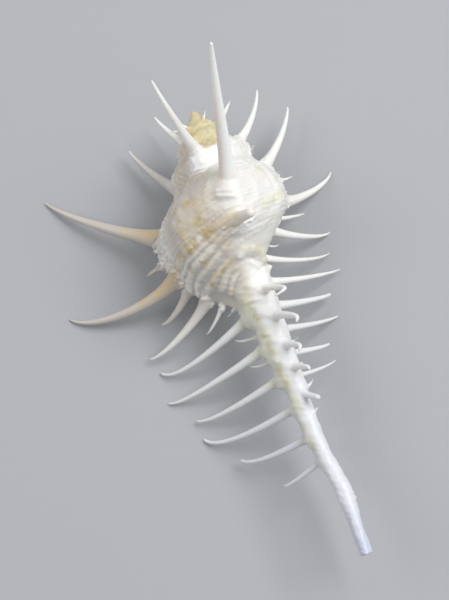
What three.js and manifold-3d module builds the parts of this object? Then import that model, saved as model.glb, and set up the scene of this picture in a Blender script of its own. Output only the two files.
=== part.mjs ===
import * as THREE from "three";
import Module from "manifold-3d";

// Murex shell lying on its aperture, in millimetres. +Y points to the apex and +Z up.
// A station is a distance below the apex.
// A turn is an angle round the axis, 0 straight up, growing to the left.

// Size and growth
const AXIS_HEIGHT = 12;
const CANAL_END = 88.05;
const RADIUS_GROWTH = 1.66;
const HEIGHT_GROWTH = 1.75;
const SPIRE_WHORLS = 8;
const LIP_TURN = 109.5;
const VARIX_STEP = 113.9;
const VARIX_HEIGHT = 1.9;
const VARIX_WIDTH = 13;
const RIB_HEIGHT = 0.35;
const LIP_FACE_TURN = 12;

// Levels between which the varices and ribs rise on the shoulder and sink at the base
const SHOULDER_LEVELS = [12.5, 17.5];
const BASE_LEVELS = [25.5, 30.5];

// Uneven growth of the shoulder: turn, width, height, and the levels between which it fades out
const SWELLS = [
  [-80, 35, -1.7, 17.5, 26],
  [-285, 30, 1.1, 19, 23],
  [-640, 30, 1.5, 21, 25],
  [86, 18, 0.5, 16.5, 20.5],
];

// The lip is drawn out round its highest spine
const FLANGE_HEIGHT = 1.0;
const FLANGE_WIDTH = 14;
const FLANGE_LEVEL = 15.8;
const FLANGE_HALF_LENGTH = 4.2;

// One whorl at turn 0: station and radius
const WHORL_PROFILE = [
  [11.6, 0],
  [12.0, 6.6],
  [13.0, 7.5],
  [14.8, 9.6],
  [16.8, 11.2],
  [18.8, 12.1],
  [20.8, 12.3],
  [23.2, 12.0],
  [25.6, 11.1],
  [28.0, 9.5],
  [30.2, 7.4],
  [32.2, 5.2],
  [34.0, 3.3],
  [34.6, 0],
];

// Siphonal canal: station, sideways shift, height above the axis and half width
const CANAL = [
  [26, 0, 0, 2.6],
  [31, -1.1, 0, 3.4],
  [35, -1.6, 0, 3.7],
  [39, -1.7, 0, 3.5],
  [43, -1.3, 0, 3.05],
  [47, -1.35, 0, 2.75],
  [51, -1.25, 0, 2.45],
  [56, -1.15, 0, 1.95],
  [62, -1.2, 0.1, 1.55],
  [66, -0.95, 0.2, 1.42],
  [70.5, -0.5, 0.4, 1.35],
  [75, 0, 0.7, 1.45],
  [79, 0.1, 1.0, 1.15],
  [83, 0.15, 1.4, 0.98],
  [CANAL_END, 0.03, 1.9, 0.85],
];
const CANAL_BLEND = 0.5;
const END_OVERHANG = 0.8;
const END_ROUNDING = 0.15;

// Aperture: a hollow that follows the last whorl inwards
const HOLLOW_LENGTH_TURN = 150;
const HOLLOW_RADIUS = 7.1;
const HOLLOW_STATION = 22.4;
const HOLLOW_HALF_WIDTH = 3.7;
const HOLLOW_HALF_LENGTH = 5.7;
const HOLLOW_TAPER = 0.6;
const RIM_THICKNESS = 0.75;

// Slit under the canal
const SLIT_TURN = 197;
const SLIT_HALF_WIDTH = 0.3;
const BORE_SHARE = 0.45;

// Mesh density; below this station the canal alone is left, with a third of the points
const CANAL_ALONE = 44;
const TURN_STEPS = 38;
const SPINE_SIDES = 6;
const STEP_LENGTHS = [4, 8];

// Spine: share of its taper that is even, power of the flare at its root, places along it where its curve
// is pulled, and how much further out and harder a curled one is pulled; from this tip radius on it is blunt
const EVEN_TAPER = 0.75;
const FLARE_POWER = 8;
const NEAR_PULL = 0.3;
const FAR_PULL = 0.86;
const CURL_SHIFT = 0.06;
const CURL_GAIN = 0.9;
const BLUNT_RADIUS = 0.5;
const DOME_SHARE = 0.6;

const { Manifold, Mesh } = await loadSolids();

async function loadSolids() {
  const wasm = await Module();
  wasm.setup();
  return wasm;
}

function rad(degrees) {
  return THREE.MathUtils.degToRad(degrees);
}

// Value of a table at x, column by column, straight between rows
function interpolate(table, x, column = 1) {
  const last = table.length - 1;
  if (x <= table[0][0]) return table[0][column];
  if (x >= table[last][0]) return table[last][column];
  const i = table.findIndex((row) => row[0] > x);
  const share = (x - table[i - 1][0]) / (table[i][0] - table[i - 1][0]);
  return THREE.MathUtils.lerp(table[i - 1][column], table[i][column], share);
}

function canalCentre(station) {
  return { x: interpolate(CANAL, station, 1), z: interpolate(CANAL, station, 2) };
}

function canalRadius(station) {
  return station < CANAL[0][0] ? 0 : interpolate(CANAL, station, 3);
}

// Point at a turn, a distance out and a station, round the axis or another centre
function place(turn, radius, station, centre = { x: 0, z: 0 }) {
  const x = centre.x - radius * Math.sin(rad(turn));
  const z = AXIS_HEIGHT + centre.z + radius * Math.cos(rad(turn));
  return new THREE.Vector3(x, -station, z);
}

function bell(x) {
  return Math.exp(-(x ** 2));
}

// Share of a varix at a turn: 1 on its crest, 0 between two of them
function varixShare(turn) {
  const steps = (turn - LIP_TURN) / VARIX_STEP;
  const away = (steps - Math.round(steps)) * VARIX_STEP;
  return bell(away / VARIX_WIDTH);
}

// Two low axial ribs between neighbouring varices
function ribShare(turn) {
  const steps = (turn - LIP_TURN) / VARIX_STEP;
  return (0.5 - 0.5 * Math.cos(6 * Math.PI * steps)) * (1 - varixShare(turn));
}

// Height of the swells and of the lip's flange
function unevenness(turn, level) {
  const lip = bell((turn - LIP_TURN) / FLANGE_WIDTH);
  let height = FLANGE_HEIGHT * lip * bell((level - FLANGE_LEVEL) / FLANGE_HALF_LENGTH);
  for (const [middle, width, rise, low, high] of SWELLS) {
    height += rise * bell((turn - middle) / width) * (1 - THREE.MathUtils.smoothstep(level, low, high));
  }
  return height;
}

// Radius of one whorl, 0 where that whorl is not present
function whorlRadius(turn, station) {
  const level = station / HEIGHT_GROWTH ** (turn / 360);
  const radius = interpolate(WHORL_PROFILE, level);
  if (radius === 0) return 0;
  const shoulder = THREE.MathUtils.smoothstep(level, ...SHOULDER_LEVELS);
  const base = THREE.MathUtils.smoothstep(level, ...BASE_LEVELS);
  const relief = VARIX_HEIGHT * varixShare(turn) + RIB_HEIGHT * ribShare(turn);
  const height = shoulder * (1 - base) * relief + unevenness(turn, level);
  return RADIUS_GROWTH ** (turn / 360) * (radius + height);
}

// Outer surface as a distance from the local centre
function shellRadius(turn, station) {
  let body = 0;
  for (let whorl = 0; whorl < SPIRE_WHORLS; whorl++) {
    body = Math.max(body, whorlRadius(turn - 360 * whorl, station));
  }
  const centre = canalCentre(station);
  const shift = -centre.x * Math.sin(rad(turn)) + centre.z * Math.cos(rad(turn));
  const canal = canalRadius(station);
  const higher = Math.max(body - shift, canal);
  const lower = Math.min(body - shift, canal);
  const gap = Math.max(0, 1 - (higher - lower) / (4 * CANAL_BLEND));
  return higher + CANAL_BLEND * gap ** 2;
}

function surfacePoint(turn, station, depth = 0) {
  return place(turn, shellRadius(turn, station) - depth, station, canalCentre(station));
}

// Closed solid through a row of rings; a ring may have a whole fraction of the points of the one before
function skin(rings) {
  const points = rings.flat();
  const triangles = [];
  let start = 0;
  for (let i = 0; i + 1 < rings.length; i++) {
    const [sides, fewer] = [rings[i].length, rings[i + 1].length];
    const share = sides / fewer;
    for (let j = 0; j < fewer; j++) {
      const here = start + sides + j;
      const next = start + sides + ((j + 1) % fewer);
      for (let k = j * share; k < (j + 1) * share; k++) {
        triangles.push([start + k, start + ((k + 1) % sides), here]);
      }
      triangles.push([start + (((j + 1) * share) % sides), next, here]);
    }
    start += sides;
  }
  const first = points.push(middleOf(rings[0])) - 1;
  const last = points.push(middleOf(rings[rings.length - 1])) - 1;
  rings[0].forEach((_, j) => triangles.push([first, (j + 1) % rings[0].length, j]));
  const end = rings[rings.length - 1].length;
  for (let j = 0; j < end; j++) triangles.push([last, start + j, start + ((j + 1) % end)]);
  return solid(points, triangles);
}

function middleOf(ring) {
  const sum = ring.reduce((total, point) => total.add(point), new THREE.Vector3());
  return sum.divideScalar(ring.length);
}

// Solid from points and triangles, turned outwards
function solid(points, triangles) {
  const vertProperties = new Float32Array(points.flatMap((p) => p.toArray()));
  const build = (faces) => {
    const triVerts = new Uint32Array(faces.flat());
    return new Manifold(new Mesh({ numProp: 3, vertProperties, triVerts }));
  };
  const made = build(triangles);
  return made.volume() > 0 ? made : build(triangles.map(([a, b, c]) => [a, c, b]));
}

function range(start, end, step) {
  const count = Math.round((end - start) / step);
  return Array.from({ length: count }, (_, i) => start + i * step);
}

// Spire, body whorl and canal as one skin; the ring closes across the face of the lip
function makeBody() {
  const stations = [
    0.15, 0.7, 1.3, 1.9, 2.6, 3.3,
    ...range(4, 15, 0.92),
    ...range(15, 36, 1.25),
    ...range(36, 44, 2),
    ...range(44, CANAL_END - 1.5, 3.4),
    CANAL_END - 1.2,
    CANAL_END,
  ];
  const start = LIP_TURN - 360 + LIP_FACE_TURN;
  const rings = stations.map((station) => {
    const ring = [];
    for (let i = 0; i <= TURN_STEPS; i++) {
      const turn = start + ((LIP_TURN - start) * i) / TURN_STEPS;
      ring.push(station === CANAL_END ? endPoint(turn) : surfacePoint(turn, station));
    }
    return station > CANAL_ALONE ? ring.filter((_, i) => i % 3 === 0) : ring;
  });
  return skin(rings);
}

// Edge of the cut-off end, where the top overhangs
function endPoint(turn) {
  const station = CANAL_END - (END_OVERHANG * (1 - Math.cos(rad(turn)))) / 2;
  return place(turn, canalRadius(CANAL_END) - END_ROUNDING, station, canalCentre(CANAL_END));
}

// Ring of a tube round a point, across a direction given by two unit vectors
function tubeRing(centre, normal, binormal, radius) {
  return Array.from({ length: SPINE_SIDES }, (_, j) => {
    const angle = (2 * Math.PI * j) / SPINE_SIDES;
    const across = normal.clone().multiplyScalar(radius * Math.cos(angle));
    const up = binormal.clone().multiplyScalar(radius * Math.sin(angle));
    return centre.clone().add(across).add(up);
  });
}

// Tapering tube along a curve, wider where it leaves the shell; a blunt one ends in a dome
function makeTube(curve, baseRadius, tipRadius, steps) {
  const { normals, binormals, tangents } = curve.computeFrenetFrames(steps, false);
  const rings = [];
  for (let i = 0; i <= steps; i++) {
    const along = i / steps;
    const taper = EVEN_TAPER * (1 - along) + (1 - EVEN_TAPER) * (1 - along) ** FLARE_POWER;
    const radius = tipRadius + (baseRadius - tipRadius) * taper;
    rings.push(tubeRing(curve.getPoint(along), normals[i], binormals[i], radius));
  }
  if (tipRadius >= BLUNT_RADIUS) {
    const dome = DOME_SHARE * tipRadius;
    const top = curve.getPoint(1).addScaledVector(tangents[steps], dome);
    rings.push(tubeRing(top, normals[steps], binormals[steps], dome));
  }
  return skin(rings);
}

function at([x, station, z]) {
  return new THREE.Vector3(x, -station, z);
}

// Spine from a point on the shell to its tip; sag bows it towards the canal, near the tip if it curls
function makeSpine({ turn, station, tip, base, sag = 0, curl = 0, point = 0.22 }) {
  const root = surfacePoint(turn, station, base);
  const end = at(tip);
  const near = root.clone().lerp(end, NEAR_PULL).add(at([0, sag * (1 - curl), 0]));
  const reach = FAR_PULL + CURL_SHIFT * curl;
  const far = root.clone().lerp(end, reach).add(at([0, sag * (1 + CURL_GAIN * curl), 0]));
  const steps = 1 + 2 * STEP_LENGTHS.filter((length) => root.distanceTo(end) > length).length;
  return makeTube(new THREE.CubicBezierCurve3(root, near, far, end), base, point, steps);
}

// Spine that curls over and passes through its knee
function makeHook({ turn, station, knee, tip, base, point = 0.25 }) {
  const root = surfacePoint(turn, station, base);
  const end = at(tip);
  const corner = at(knee).multiplyScalar(8).sub(root).sub(end).divideScalar(6);
  return makeTube(new THREE.CubicBezierCurve3(root, corner, corner, end), base, point, 6);
}

// Rounded ridge along places on the surface, each a turn and a station, standing out by its height
function makeRidge({ places, start, end, height }) {
  const steps = 2 * (places.length - 1);
  const spots = places.map(([turn, station], i) => {
    const radius = THREE.MathUtils.lerp(start, end, i / (places.length - 1));
    return surfacePoint(turn, station, radius - height);
  });
  const curve = new THREE.CatmullRomCurve3(spots);
  const { normals, binormals } = curve.computeFrenetFrames(steps, false);
  const rings = normals.map((normal, i) => {
    const radius = THREE.MathUtils.lerp(start, end, i / steps);
    return tubeRing(curve.getPoint(i / steps), normal, binormals[i], radius);
  });
  return skin(rings);
}

// Left: the varix of the lip
function lipSpines() {
  const turn = LIP_TURN - 3;
  return [
    makeSpine({ turn, station: 19.85, tip: [-32.2, 2.5, 0.25], base: 2, sag: 2.4 }),
    makeSpine({ turn, station: 24.2, tip: [-18.8, 24.6, 6], base: 0.95 }),
    makeSpine({ turn, station: 27.3, tip: [-35.5, 25.65, 0.25], base: 1.8, sag: 3.8 }),
    makeSpine({ turn, station: 30.6, tip: [-19.6, 33.75, 4.5], base: 1.1, sag: 1.2 }),
    makeSpine({ turn, station: 33.4, tip: [-24, 38.4, 1.5], base: 1.35, sag: 1.8 }),
    makeSpine({ turn, station: 35.6, tip: [-12.5, 39, 6.5], base: 0.65, sag: 0.6, point: 0.12 }),
    makeSpine({ turn, station: 37.5, tip: [-7.6, 37.9, 9], base: 0.4, point: 0.1 }),
  ];
}

// Left row down the canal
function leftCanalSpines() {
  const turn = 95;
  const curl = 0.5;
  return [
    makeSpine({ turn, station: 39.8, tip: [-23, 41.5, 0.5], base: 1.25, sag: 2.3, curl }),
    makeSpine({ turn, station: 44.0, tip: [-7.9, 42.4, 8.4], base: 0.45, sag: 0.5, point: 0.14 }),
    makeSpine({ turn, station: 46.3, tip: [-23.7, 47.3, 0.25], base: 1.2, sag: 1.2, curl }),
    makeSpine({ turn, station: 49.2, tip: [-7.2, 47.7, 8.4], base: 0.45, sag: 0.6, point: 0.15 }),
    makeSpine({ turn, station: 52.6, tip: [-19.9, 52.4, 1], base: 1.15, sag: 1.35, curl }),
    makeSpine({ turn, station: 54.3, tip: [-5.7, 52.9, 7.5], base: 0.32, point: 0.12 }),
    makeSpine({ turn, station: 58.4, tip: [-19.9, 56.2, 0.3], base: 1.05, sag: 2.2, curl, point: 0.25 }),
    makeSpine({ turn, station: 64.3, tip: [-14.9, 62.4, 2.5], base: 0.95, sag: 1.6, curl, point: 0.25 }),
    makeSpine({ turn, station: 69.1, tip: [-9.2, 70.4, 6.5], base: 0.75, sag: 0.4, curl }),
  ];
}

// Right: the varix before the back one
function rightSpines() {
  const turn = LIP_TURN - 2 * VARIX_STEP;
  return [
    makeSpine({ turn, station: 13.9, tip: [17, 3.6, 5], base: 1.55, sag: 1.8 }),
    makeSpine({ turn, station: 17.4, tip: [13, 16.6, 5.4], base: 0.5, point: 0.1 }),
    makeSpine({ turn, station: 20.8, tip: [20.2, 17.2, 0.25], base: 1.4, sag: 1.9 }),
    makeSpine({ turn, station: 23.9, tip: [12.6, 23.6, 3.6], base: 0.6, sag: 0.3, point: 0.12 }),
    makeSpine({ turn, station: 25.3, tip: [15.9, 27.9, 0.17], base: 1.25, sag: 1.85, point: 0.12 }),
  ];
}

// Right row down the canal, with a curl near its end
function rightCanalSpines() {
  const turn = -110;
  return [
    makeSpine({ turn, station: 27.9, tip: [5.8, 28.5, 8], base: 0.35, sag: 0.5, point: 0.12 }),
    makeSpine({ turn, station: 30, tip: [14.3, 31.7, 1], base: 0.95, sag: 1.45, point: 0.12 }),
    makeSpine({ turn: -95, station: 32.9, tip: [2.8, 32.7, 12], base: 0.65, point: 0.5 }),
    makeSpine({ turn, station: 34.9, tip: [15, 35.5, 1], base: 0.95, sag: 0.75, point: 0.13 }),
    makeSpine({ turn, station: 39.4, tip: [11.4, 39.4, 2], base: 1.05, sag: 0.5, point: 0.3 }),
    makeSpine({ turn, station: 44, tip: [11.4, 43.4, 0.25], base: 0.9, sag: 0.6 }),
    makeSpine({ turn, station: 48.7, tip: [7.8, 48.55, 4.5], base: 0.85, sag: 0.4, point: 0.25 }),
    makeSpine({ turn, station: 53.2, tip: [7.9, 51.7, 4], base: 0.65, sag: 0.5, point: 0.15 }),
    makeSpine({ turn: -90, station: 56.1, tip: [2.6, 54.8, 12], base: 0.35, sag: 0.6, point: 0.1 }),
  ];
}

// Middle: the varix on the back with its long spine and worn stub, and the stubs low on the canal
function backSpines() {
  const side = -35;
  return [
    makeSpine({ turn: -6, station: 18.8, tip: [6.6, 0.2, 46], base: 1.88, point: 0.3, sag: -1 }),
    makeSpine({ turn: 8, station: 24.9, tip: [2.7, 26.2, 28.3], base: 1.45, point: 0.95 }),
    makeSpine({ turn: side, station: 56.5, tip: [2.1, 59.1, 16.2], base: 0.85, point: 0.5 }),
    makeSpine({ turn: -85, station: 61.2, tip: [1.4, 60.2, 13.2], base: 0.5, point: 0.2 }),
  ];
}

// Middle row down the canal: hooks that stand up, with a small spike beside two of them
function hooks() {
  const turn = -35;
  return [
    makeHook({ turn, station: 36.6, knee: [3.45, 39.5, 21], tip: [1.4, 40.3, 22.2], base: 0.9 }),
    makeHook({ turn, station: 41.6, knee: [3.35, 44.7, 20], tip: [3.1, 46.2, 21], base: 1 }),
    makeHook({ turn, station: 47, knee: [2.2, 49.3, 18.2], tip: [1.95, 50.5, 19], base: 0.85 }),
    makeHook({ turn, station: 51.4, knee: [2.05, 53.3, 17.3], tip: [2.45, 54.2, 18], base: 0.8 }),
    makeSpine({ turn: -45, station: 47.6, tip: [2.5, 47.9, 17], base: 0.4, point: 0.1 }),
    makeSpine({ turn: -45, station: 52, tip: [1.8, 52.1, 16.2], base: 0.4, point: 0.1 }),
  ];
}

// Spines on the older whorls
function spireSpines() {
  const turn = (steps) => LIP_TURN - steps * VARIX_STEP;
  return [
    makeSpine({ turn: turn(3), station: 12.8, tip: [-14, -0.2, 3], base: 2.05, sag: 2.8 }),
    makeSpine({ turn: turn(4) + 2.6, station: 10.4, tip: [-5.3, -2.7, 29], base: 1.48, sag: 2.15 }),
    makeSpine({ turn: turn(5), station: 8.3, tip: [12.6, 0.3, 11], base: 1.25, sag: 1.7 }),
    makeSpine({ turn: turn(6), station: 6.4, tip: [-7, -4, 5], base: 1.35, sag: 1.45 }),
    makeSpine({ turn: turn(7), station: 4.4, tip: [-3, 2.2, 14.6], base: 0.6 }),
    makeSpine({ turn: turn(8), station: 4.7, tip: [6.95, 0.95, 13.2], base: 0.85, sag: 0.2, point: 0.08 }),
    makeSpine({ turn: turn(9), station: 2.8, tip: [-5.2, 1, 10], base: 0.5, sag: 0.1, point: 0.15 }),
    makeSpine({ turn: -1110, station: 3.2, tip: [2.1, 1.4, 14.2], base: 0.6, point: 0.08 }),
  ];
}

// Small spikes between the big spines
function spikes() {
  const point = 0.08;
  return [
    makeSpine({ turn: -455, station: 10.9, tip: [8.2, 10.2, 12.5], base: 0.35, sag: 0.2, point }),
    makeSpine({ turn: -455, station: 9.8, tip: [7.2, 9.4, 12.5], base: 0.3, point }),
    makeSpine({ turn: -60, station: 15.4, tip: [8.7, 14.4, 17], base: 0.35, point }),
    makeSpine({ turn: -85, station: 17.3, tip: [10.65, 16.9, 13], base: 0.35, point }),
    makeSpine({ turn: -700, station: 4, tip: [2.1, 3.5, 14.5], base: 0.3, point }),
  ];
}

// Arch over the middle of the base, the fan and the fold that run down from the spine on the spire, and a
// wrinkle across the back varix
function ridges() {
  const arch = [[8, 30.6], [2.7, 30], [-9.5, 29.9], [-24.9, 30.4], [-45, 31.3], [-60, 32.2], [-85, 33.4]];
  const fan = [[-346, 9.6], [-340, 11], [-335, 12.4]];
  const fold = [[-328, 12.6], [-336, 13.1], [-345, 13.4]];
  const wrinkle = [[6.6, 20.46], [-3.7, 21.64]];
  return [
    makeRidge({ places: arch, start: 0.75, end: 0.5, height: 0.6 }),
    makeRidge({ places: fan, start: 1.4, end: 1.5, height: 0.55 }),
    makeRidge({ places: fold, start: 0.4, end: 0.4, height: 0.35 }),
    makeRidge({ places: wrinkle, start: 0.45, end: 0.45, height: 0.3 }),
  ];
}

// Oval of the hollow at a turn, in the plane through the axis
function hollowRing(turn, size, sides = 12) {
  const wide = RADIUS_GROWTH ** (turn / 360);
  const long = HEIGHT_GROWTH ** (turn / 360);
  return Array.from({ length: sides }, (_, i) => {
    const angle = (2 * Math.PI * i) / sides;
    const radius = wide * (HOLLOW_RADIUS + size * HOLLOW_HALF_WIDTH * Math.cos(angle));
    const station = long * (HOLLOW_STATION + size * HOLLOW_HALF_LENGTH * Math.sin(angle));
    return place(turn, radius, station);
  });
}

function makeHollow() {
  const outside = LIP_TURN + LIP_FACE_TURN + 8;
  const steps = 12;
  const rings = [];
  for (let i = 0; i <= steps; i++) {
    const along = i / steps;
    rings.push(hollowRing(outside - HOLLOW_LENGTH_TURN * along, 1 - HOLLOW_TAPER * along ** 1.5));
  }
  return skin(rings);
}

// Raised rim round the aperture
function makeRim() {
  const turn = LIP_TURN + 5;
  const inner = hollowRing(turn - 7, 1.02);
  const outer = hollowRing(turn + 3, 1.06);
  const wide = hollowRing(turn + 1, 1.06 + RIM_THICKNESS / HOLLOW_HALF_WIDTH);
  const deep = hollowRing(turn - 9, 1.06 + RIM_THICKNESS / HOLLOW_HALF_WIDTH);
  return ringSolid([inner, outer, wide, deep]);
}

// Closed band through four loops of points
function ringSolid(loops) {
  const sides = loops[0].length;
  const points = loops.flat();
  const triangles = [];
  for (let i = 0; i < loops.length; i++) {
    const next = (i + 1) % loops.length;
    for (let j = 0; j < sides; j++) {
      const k = (j + 1) % sides;
      const [a, b] = [i * sides + j, i * sides + k];
      const [c, d] = [next * sides + k, next * sides + j];
      triangles.push([a, b, c], [a, c, d]);
    }
  }
  return solid(points, triangles);
}

// Bore of the canal with the narrow slit that opens it below
function makeSlit() {
  const stations = [32, 36, 40, 45, 50, 56, 62, 68, 74, 80, CANAL_END + 1];
  const rings = stations.map((station) => {
    const centre = canalCentre(station);
    const bore = BORE_SHARE * canalRadius(station);
    const half = THREE.MathUtils.radToDeg(Math.asin(SLIT_HALF_WIDTH / bore));
    const ring = [];
    for (let i = 0; i <= 6; i++) {
      const turn = SLIT_TURN + half + ((360 - 2 * half) * i) / 6;
      ring.push(place(turn, bore, station, centre));
    }
    const reach = canalRadius(station) + 2;
    const narrow = THREE.MathUtils.radToDeg(Math.asin(SLIT_HALF_WIDTH / reach));
    ring.push(place(SLIT_TURN - narrow, reach, station, centre));
    ring.push(place(SLIT_TURN + narrow, reach, station, centre));
    return ring;
  });
  return skin(rings);
}

// Tooth left on the broken right edge of the canal
function makeTooth() {
  return makeSpine({ turn: -95, station: 76.4, tip: [1.75, 77.6, 12.7], base: 0.7, point: 0.15 });
}

function makeShell() {
  const pieces = [
    makeRim(),
    makeTooth(),
    ...lipSpines(),
    ...leftCanalSpines(),
    ...rightSpines(),
    ...rightCanalSpines(),
    ...backSpines(),
    ...hooks(),
    ...spireSpines(),
    ...spikes(),
    ...ridges(),
  ];
  const grown = pieces.reduce((whole, piece) => whole.add(piece), makeBody());
  return [makeHollow(), makeSlit()].reduce((whole, cut) => whole.subtract(cut), grown);
}

function shellMaterial() {
  return new THREE.MeshStandardMaterial({ color: 0xece6dc, roughness: 0.55 });
}

function shellMesh() {
  const { vertProperties, triVerts, numProp } = makeShell().getMesh();
  const geometry = new THREE.BufferGeometry();
  geometry.setAttribute("position", new THREE.BufferAttribute(vertProperties, numProp));
  geometry.setIndex(new THREE.BufferAttribute(triVerts, 1));
  geometry.computeVertexNormals();
  const mesh = new THREE.Mesh(geometry, shellMaterial());
  mesh.name = "murex_shell";
  return mesh;
}

// The origin is the middle of the underside of the bounding box
function centred(mesh) {
  mesh.geometry.computeBoundingBox();
  const middle = mesh.geometry.boundingBox.getCenter(new THREE.Vector3());
  mesh.geometry.translate(-middle.x, -middle.y, -mesh.geometry.boundingBox.min.z);
  return mesh;
}

const group = new THREE.Group();
group.add(centred(shellMesh()));

export default group;
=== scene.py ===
import math

import bpy
import numpy as np
from mathutils import Matrix, Vector


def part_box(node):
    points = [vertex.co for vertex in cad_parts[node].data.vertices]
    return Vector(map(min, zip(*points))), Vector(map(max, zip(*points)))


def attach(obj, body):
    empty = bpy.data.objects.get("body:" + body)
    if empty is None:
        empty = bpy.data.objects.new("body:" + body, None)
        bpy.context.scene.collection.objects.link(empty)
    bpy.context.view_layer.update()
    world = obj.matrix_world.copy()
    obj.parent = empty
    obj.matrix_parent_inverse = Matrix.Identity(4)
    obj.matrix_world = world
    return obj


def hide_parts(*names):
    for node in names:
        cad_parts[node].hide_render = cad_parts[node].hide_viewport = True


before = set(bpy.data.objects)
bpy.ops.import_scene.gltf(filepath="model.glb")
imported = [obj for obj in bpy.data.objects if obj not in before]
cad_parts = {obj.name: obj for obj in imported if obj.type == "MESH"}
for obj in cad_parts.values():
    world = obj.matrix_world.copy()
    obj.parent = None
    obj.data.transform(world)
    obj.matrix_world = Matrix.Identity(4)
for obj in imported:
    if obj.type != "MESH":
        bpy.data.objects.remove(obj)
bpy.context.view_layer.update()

bl_info = {
    "name": "Murex shell",
    "version": (1, 0, 0),
    "blender": (4, 5, 0),
    "location": "3D View > Sidebar > Murex",
    "description": "Builds a spiny murex shell with its relief and colours, and a plain stage for it",
    "category": "Add Mesh",
}

# The shell is worked out in millimetres round its own axis, with the apex at station 0, and is moved
# into the row frame at the end. A station is a distance below the apex. A turn is an angle round the
# axis, 0 straight up, growing to the left. A level is the station at turn 0 that a place on another
# whorl or turn answers to. Two values hold the ends of a soft edge, or for a bell its middle and width.
# Four hold where an area starts, is full, is still full and ends.
MM = 0.001
NODE = "murex_shell"
CANAL_END = 88.05
LOWEST_CORNER = (-35.55, -CANAL_END, 0.05)
AXIS_HEIGHT = 12.0
RADIUS_GROWTH = 1.66
HEIGHT_GROWTH = 1.75
SPIRE_WHORLS = 8
LIP_TURN = 109.5
LIP_FACE_TURN = 12.0
VARIX_STEP = 113.9
VARIX_WIDTH = 13.0
VARIX_HEIGHT = 1.9
VARIX_LEVELS = (12.5, 17.5, 25.5, 30.5)
RIB_HEIGHT = 0.35
RIBS_PER_STEP = 3
WHORL_MARGIN = 0.4
CANAL_BLEND = 0.5
CANAL_FADE = 0.8
END_OVERHANG = 0.35
END_LENGTH = 3.0
END_LEAN = -20.0
END_EDGE = 0.2
END_BEVEL = 0.15

# Uneven growth of the shoulder: turn, width, height, and the levels between which it fades out
SWELLS = [
    (-80, 35, -1.7, 17.5, 26),
    (-285, 30, 0.7, 19, 23),
    (-640, 30, 1.5, 21, 25),
    (86, 18, 0.2, 16.5, 20.5),
]

# The lip is drawn out round its highest spine
FLANGE_HEIGHT = 1.0
FLANGE_WIDTH = 14.0
FLANGE_LEVELS = (15.8, 3.6)
# and worn back below it
WORN_TURNS = (106.0, 20.0)
WORN_LEVELS = (13.0, 15.0, 26.0, 30.0)
WORN_HIGH = 0.6
WORN_LOW = 0.85
WORN_LOW_LEVELS = (20.5, 23.0)

# Filling of the crease between two whorls
SUTURE_FILL = 0.45

# One whorl at turn 0: station and radius
WHORL_PROFILE = [
    (12, 6.6),
    (13, 7.5),
    (14.8, 9.6),
    (16.8, 11.2),
    (18.8, 12.1),
    (20.8, 12.3),
    (23.2, 12),
    (25.6, 11.1),
    (28, 9.5),
    (30.2, 7.4),
    (32.2, 5.2),
    (34, 3.3),
]

# Siphonal canal: station, sideways shift, height above the axis and half width
CANAL = [
    (26, 0, 0, 2.6),
    (31, -1.1, 0, 3.4),
    (35, -1.6, 0, 3.7),
    (39, -1.7, 0, 3.5),
    (43, -1.3, 0, 3.05),
    (47, -1.35, 0, 2.75),
    (51, -1.25, 0, 2.45),
    (56, -1.15, 0, 1.95),
    (62, -1.17, 0.1, 1.55),
    (66, -0.95, 0.2, 1.42),
    (70.5, -0.5, 0.4, 1.34),
    (75, 0.18, 0.7, 1.33),
    (79, 0.27, 1, 1.2),
    (83, 0.2, 1.4, 0.95),
    (CANAL_END, 0, 1.9, 0.73),
]

# The canal's left edge widens at its spines and is hollow between them, most of all at its start
LEFT_EDGE = 95.0
EDGE_WIDTH = 28.0
SWELLING_HEIGHT = 0.45
SWELLING_SHIFT = 0.6
SWELLING_LENGTH = 1.3
EDGE_DENT = 0.5
DENT_STATIONS = (31.0, 34.0, 54.0, 60.0)
FIRST_DENT = (36.0, 2.0)
FIRST_DENT_GAIN = 1.2


def varix_turn(number):
    """Turn of a varix, counted back from the lip."""
    return LIP_TURN - number * VARIX_STEP


# Rows of spines, by turn
LIP_ROW = LIP_TURN - 3.0
RIGHT_ROW = varix_turn(2)
CANAL_RIGHT_ROW = -110.0

# Spines: turn and station of the root, tip (x, station, z), radius at the root, sag towards the canal,
# radius at the tip
LIP_SPINES = [
    (LIP_ROW, 19.85, (-32.2, 2.6, 0.25), 2, 2.2, 0.2),
    (LIP_ROW, 24, (-18.8, 24.5, 6), 0.95, 0, 0.2),
    (LIP_ROW, 27.3, (-35.5, 25.5, 0.25), 1.8, 3.7, 0.2),
    (LIP_ROW, 30.6, (-19.6, 33.75, 4.5), 1.1, 1.2, 0.2),
    (LIP_ROW, 33.4, (-24, 38.4, 1.5), 1.35, 1.8, 0.2),
    (LIP_ROW, 35.6, (-12.5, 39, 6.5), 0.65, 0.6, 0.12),
    (LIP_ROW, 37.5, (-7.6, 37.9, 9), 0.4, 0, 0.1),
]
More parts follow.
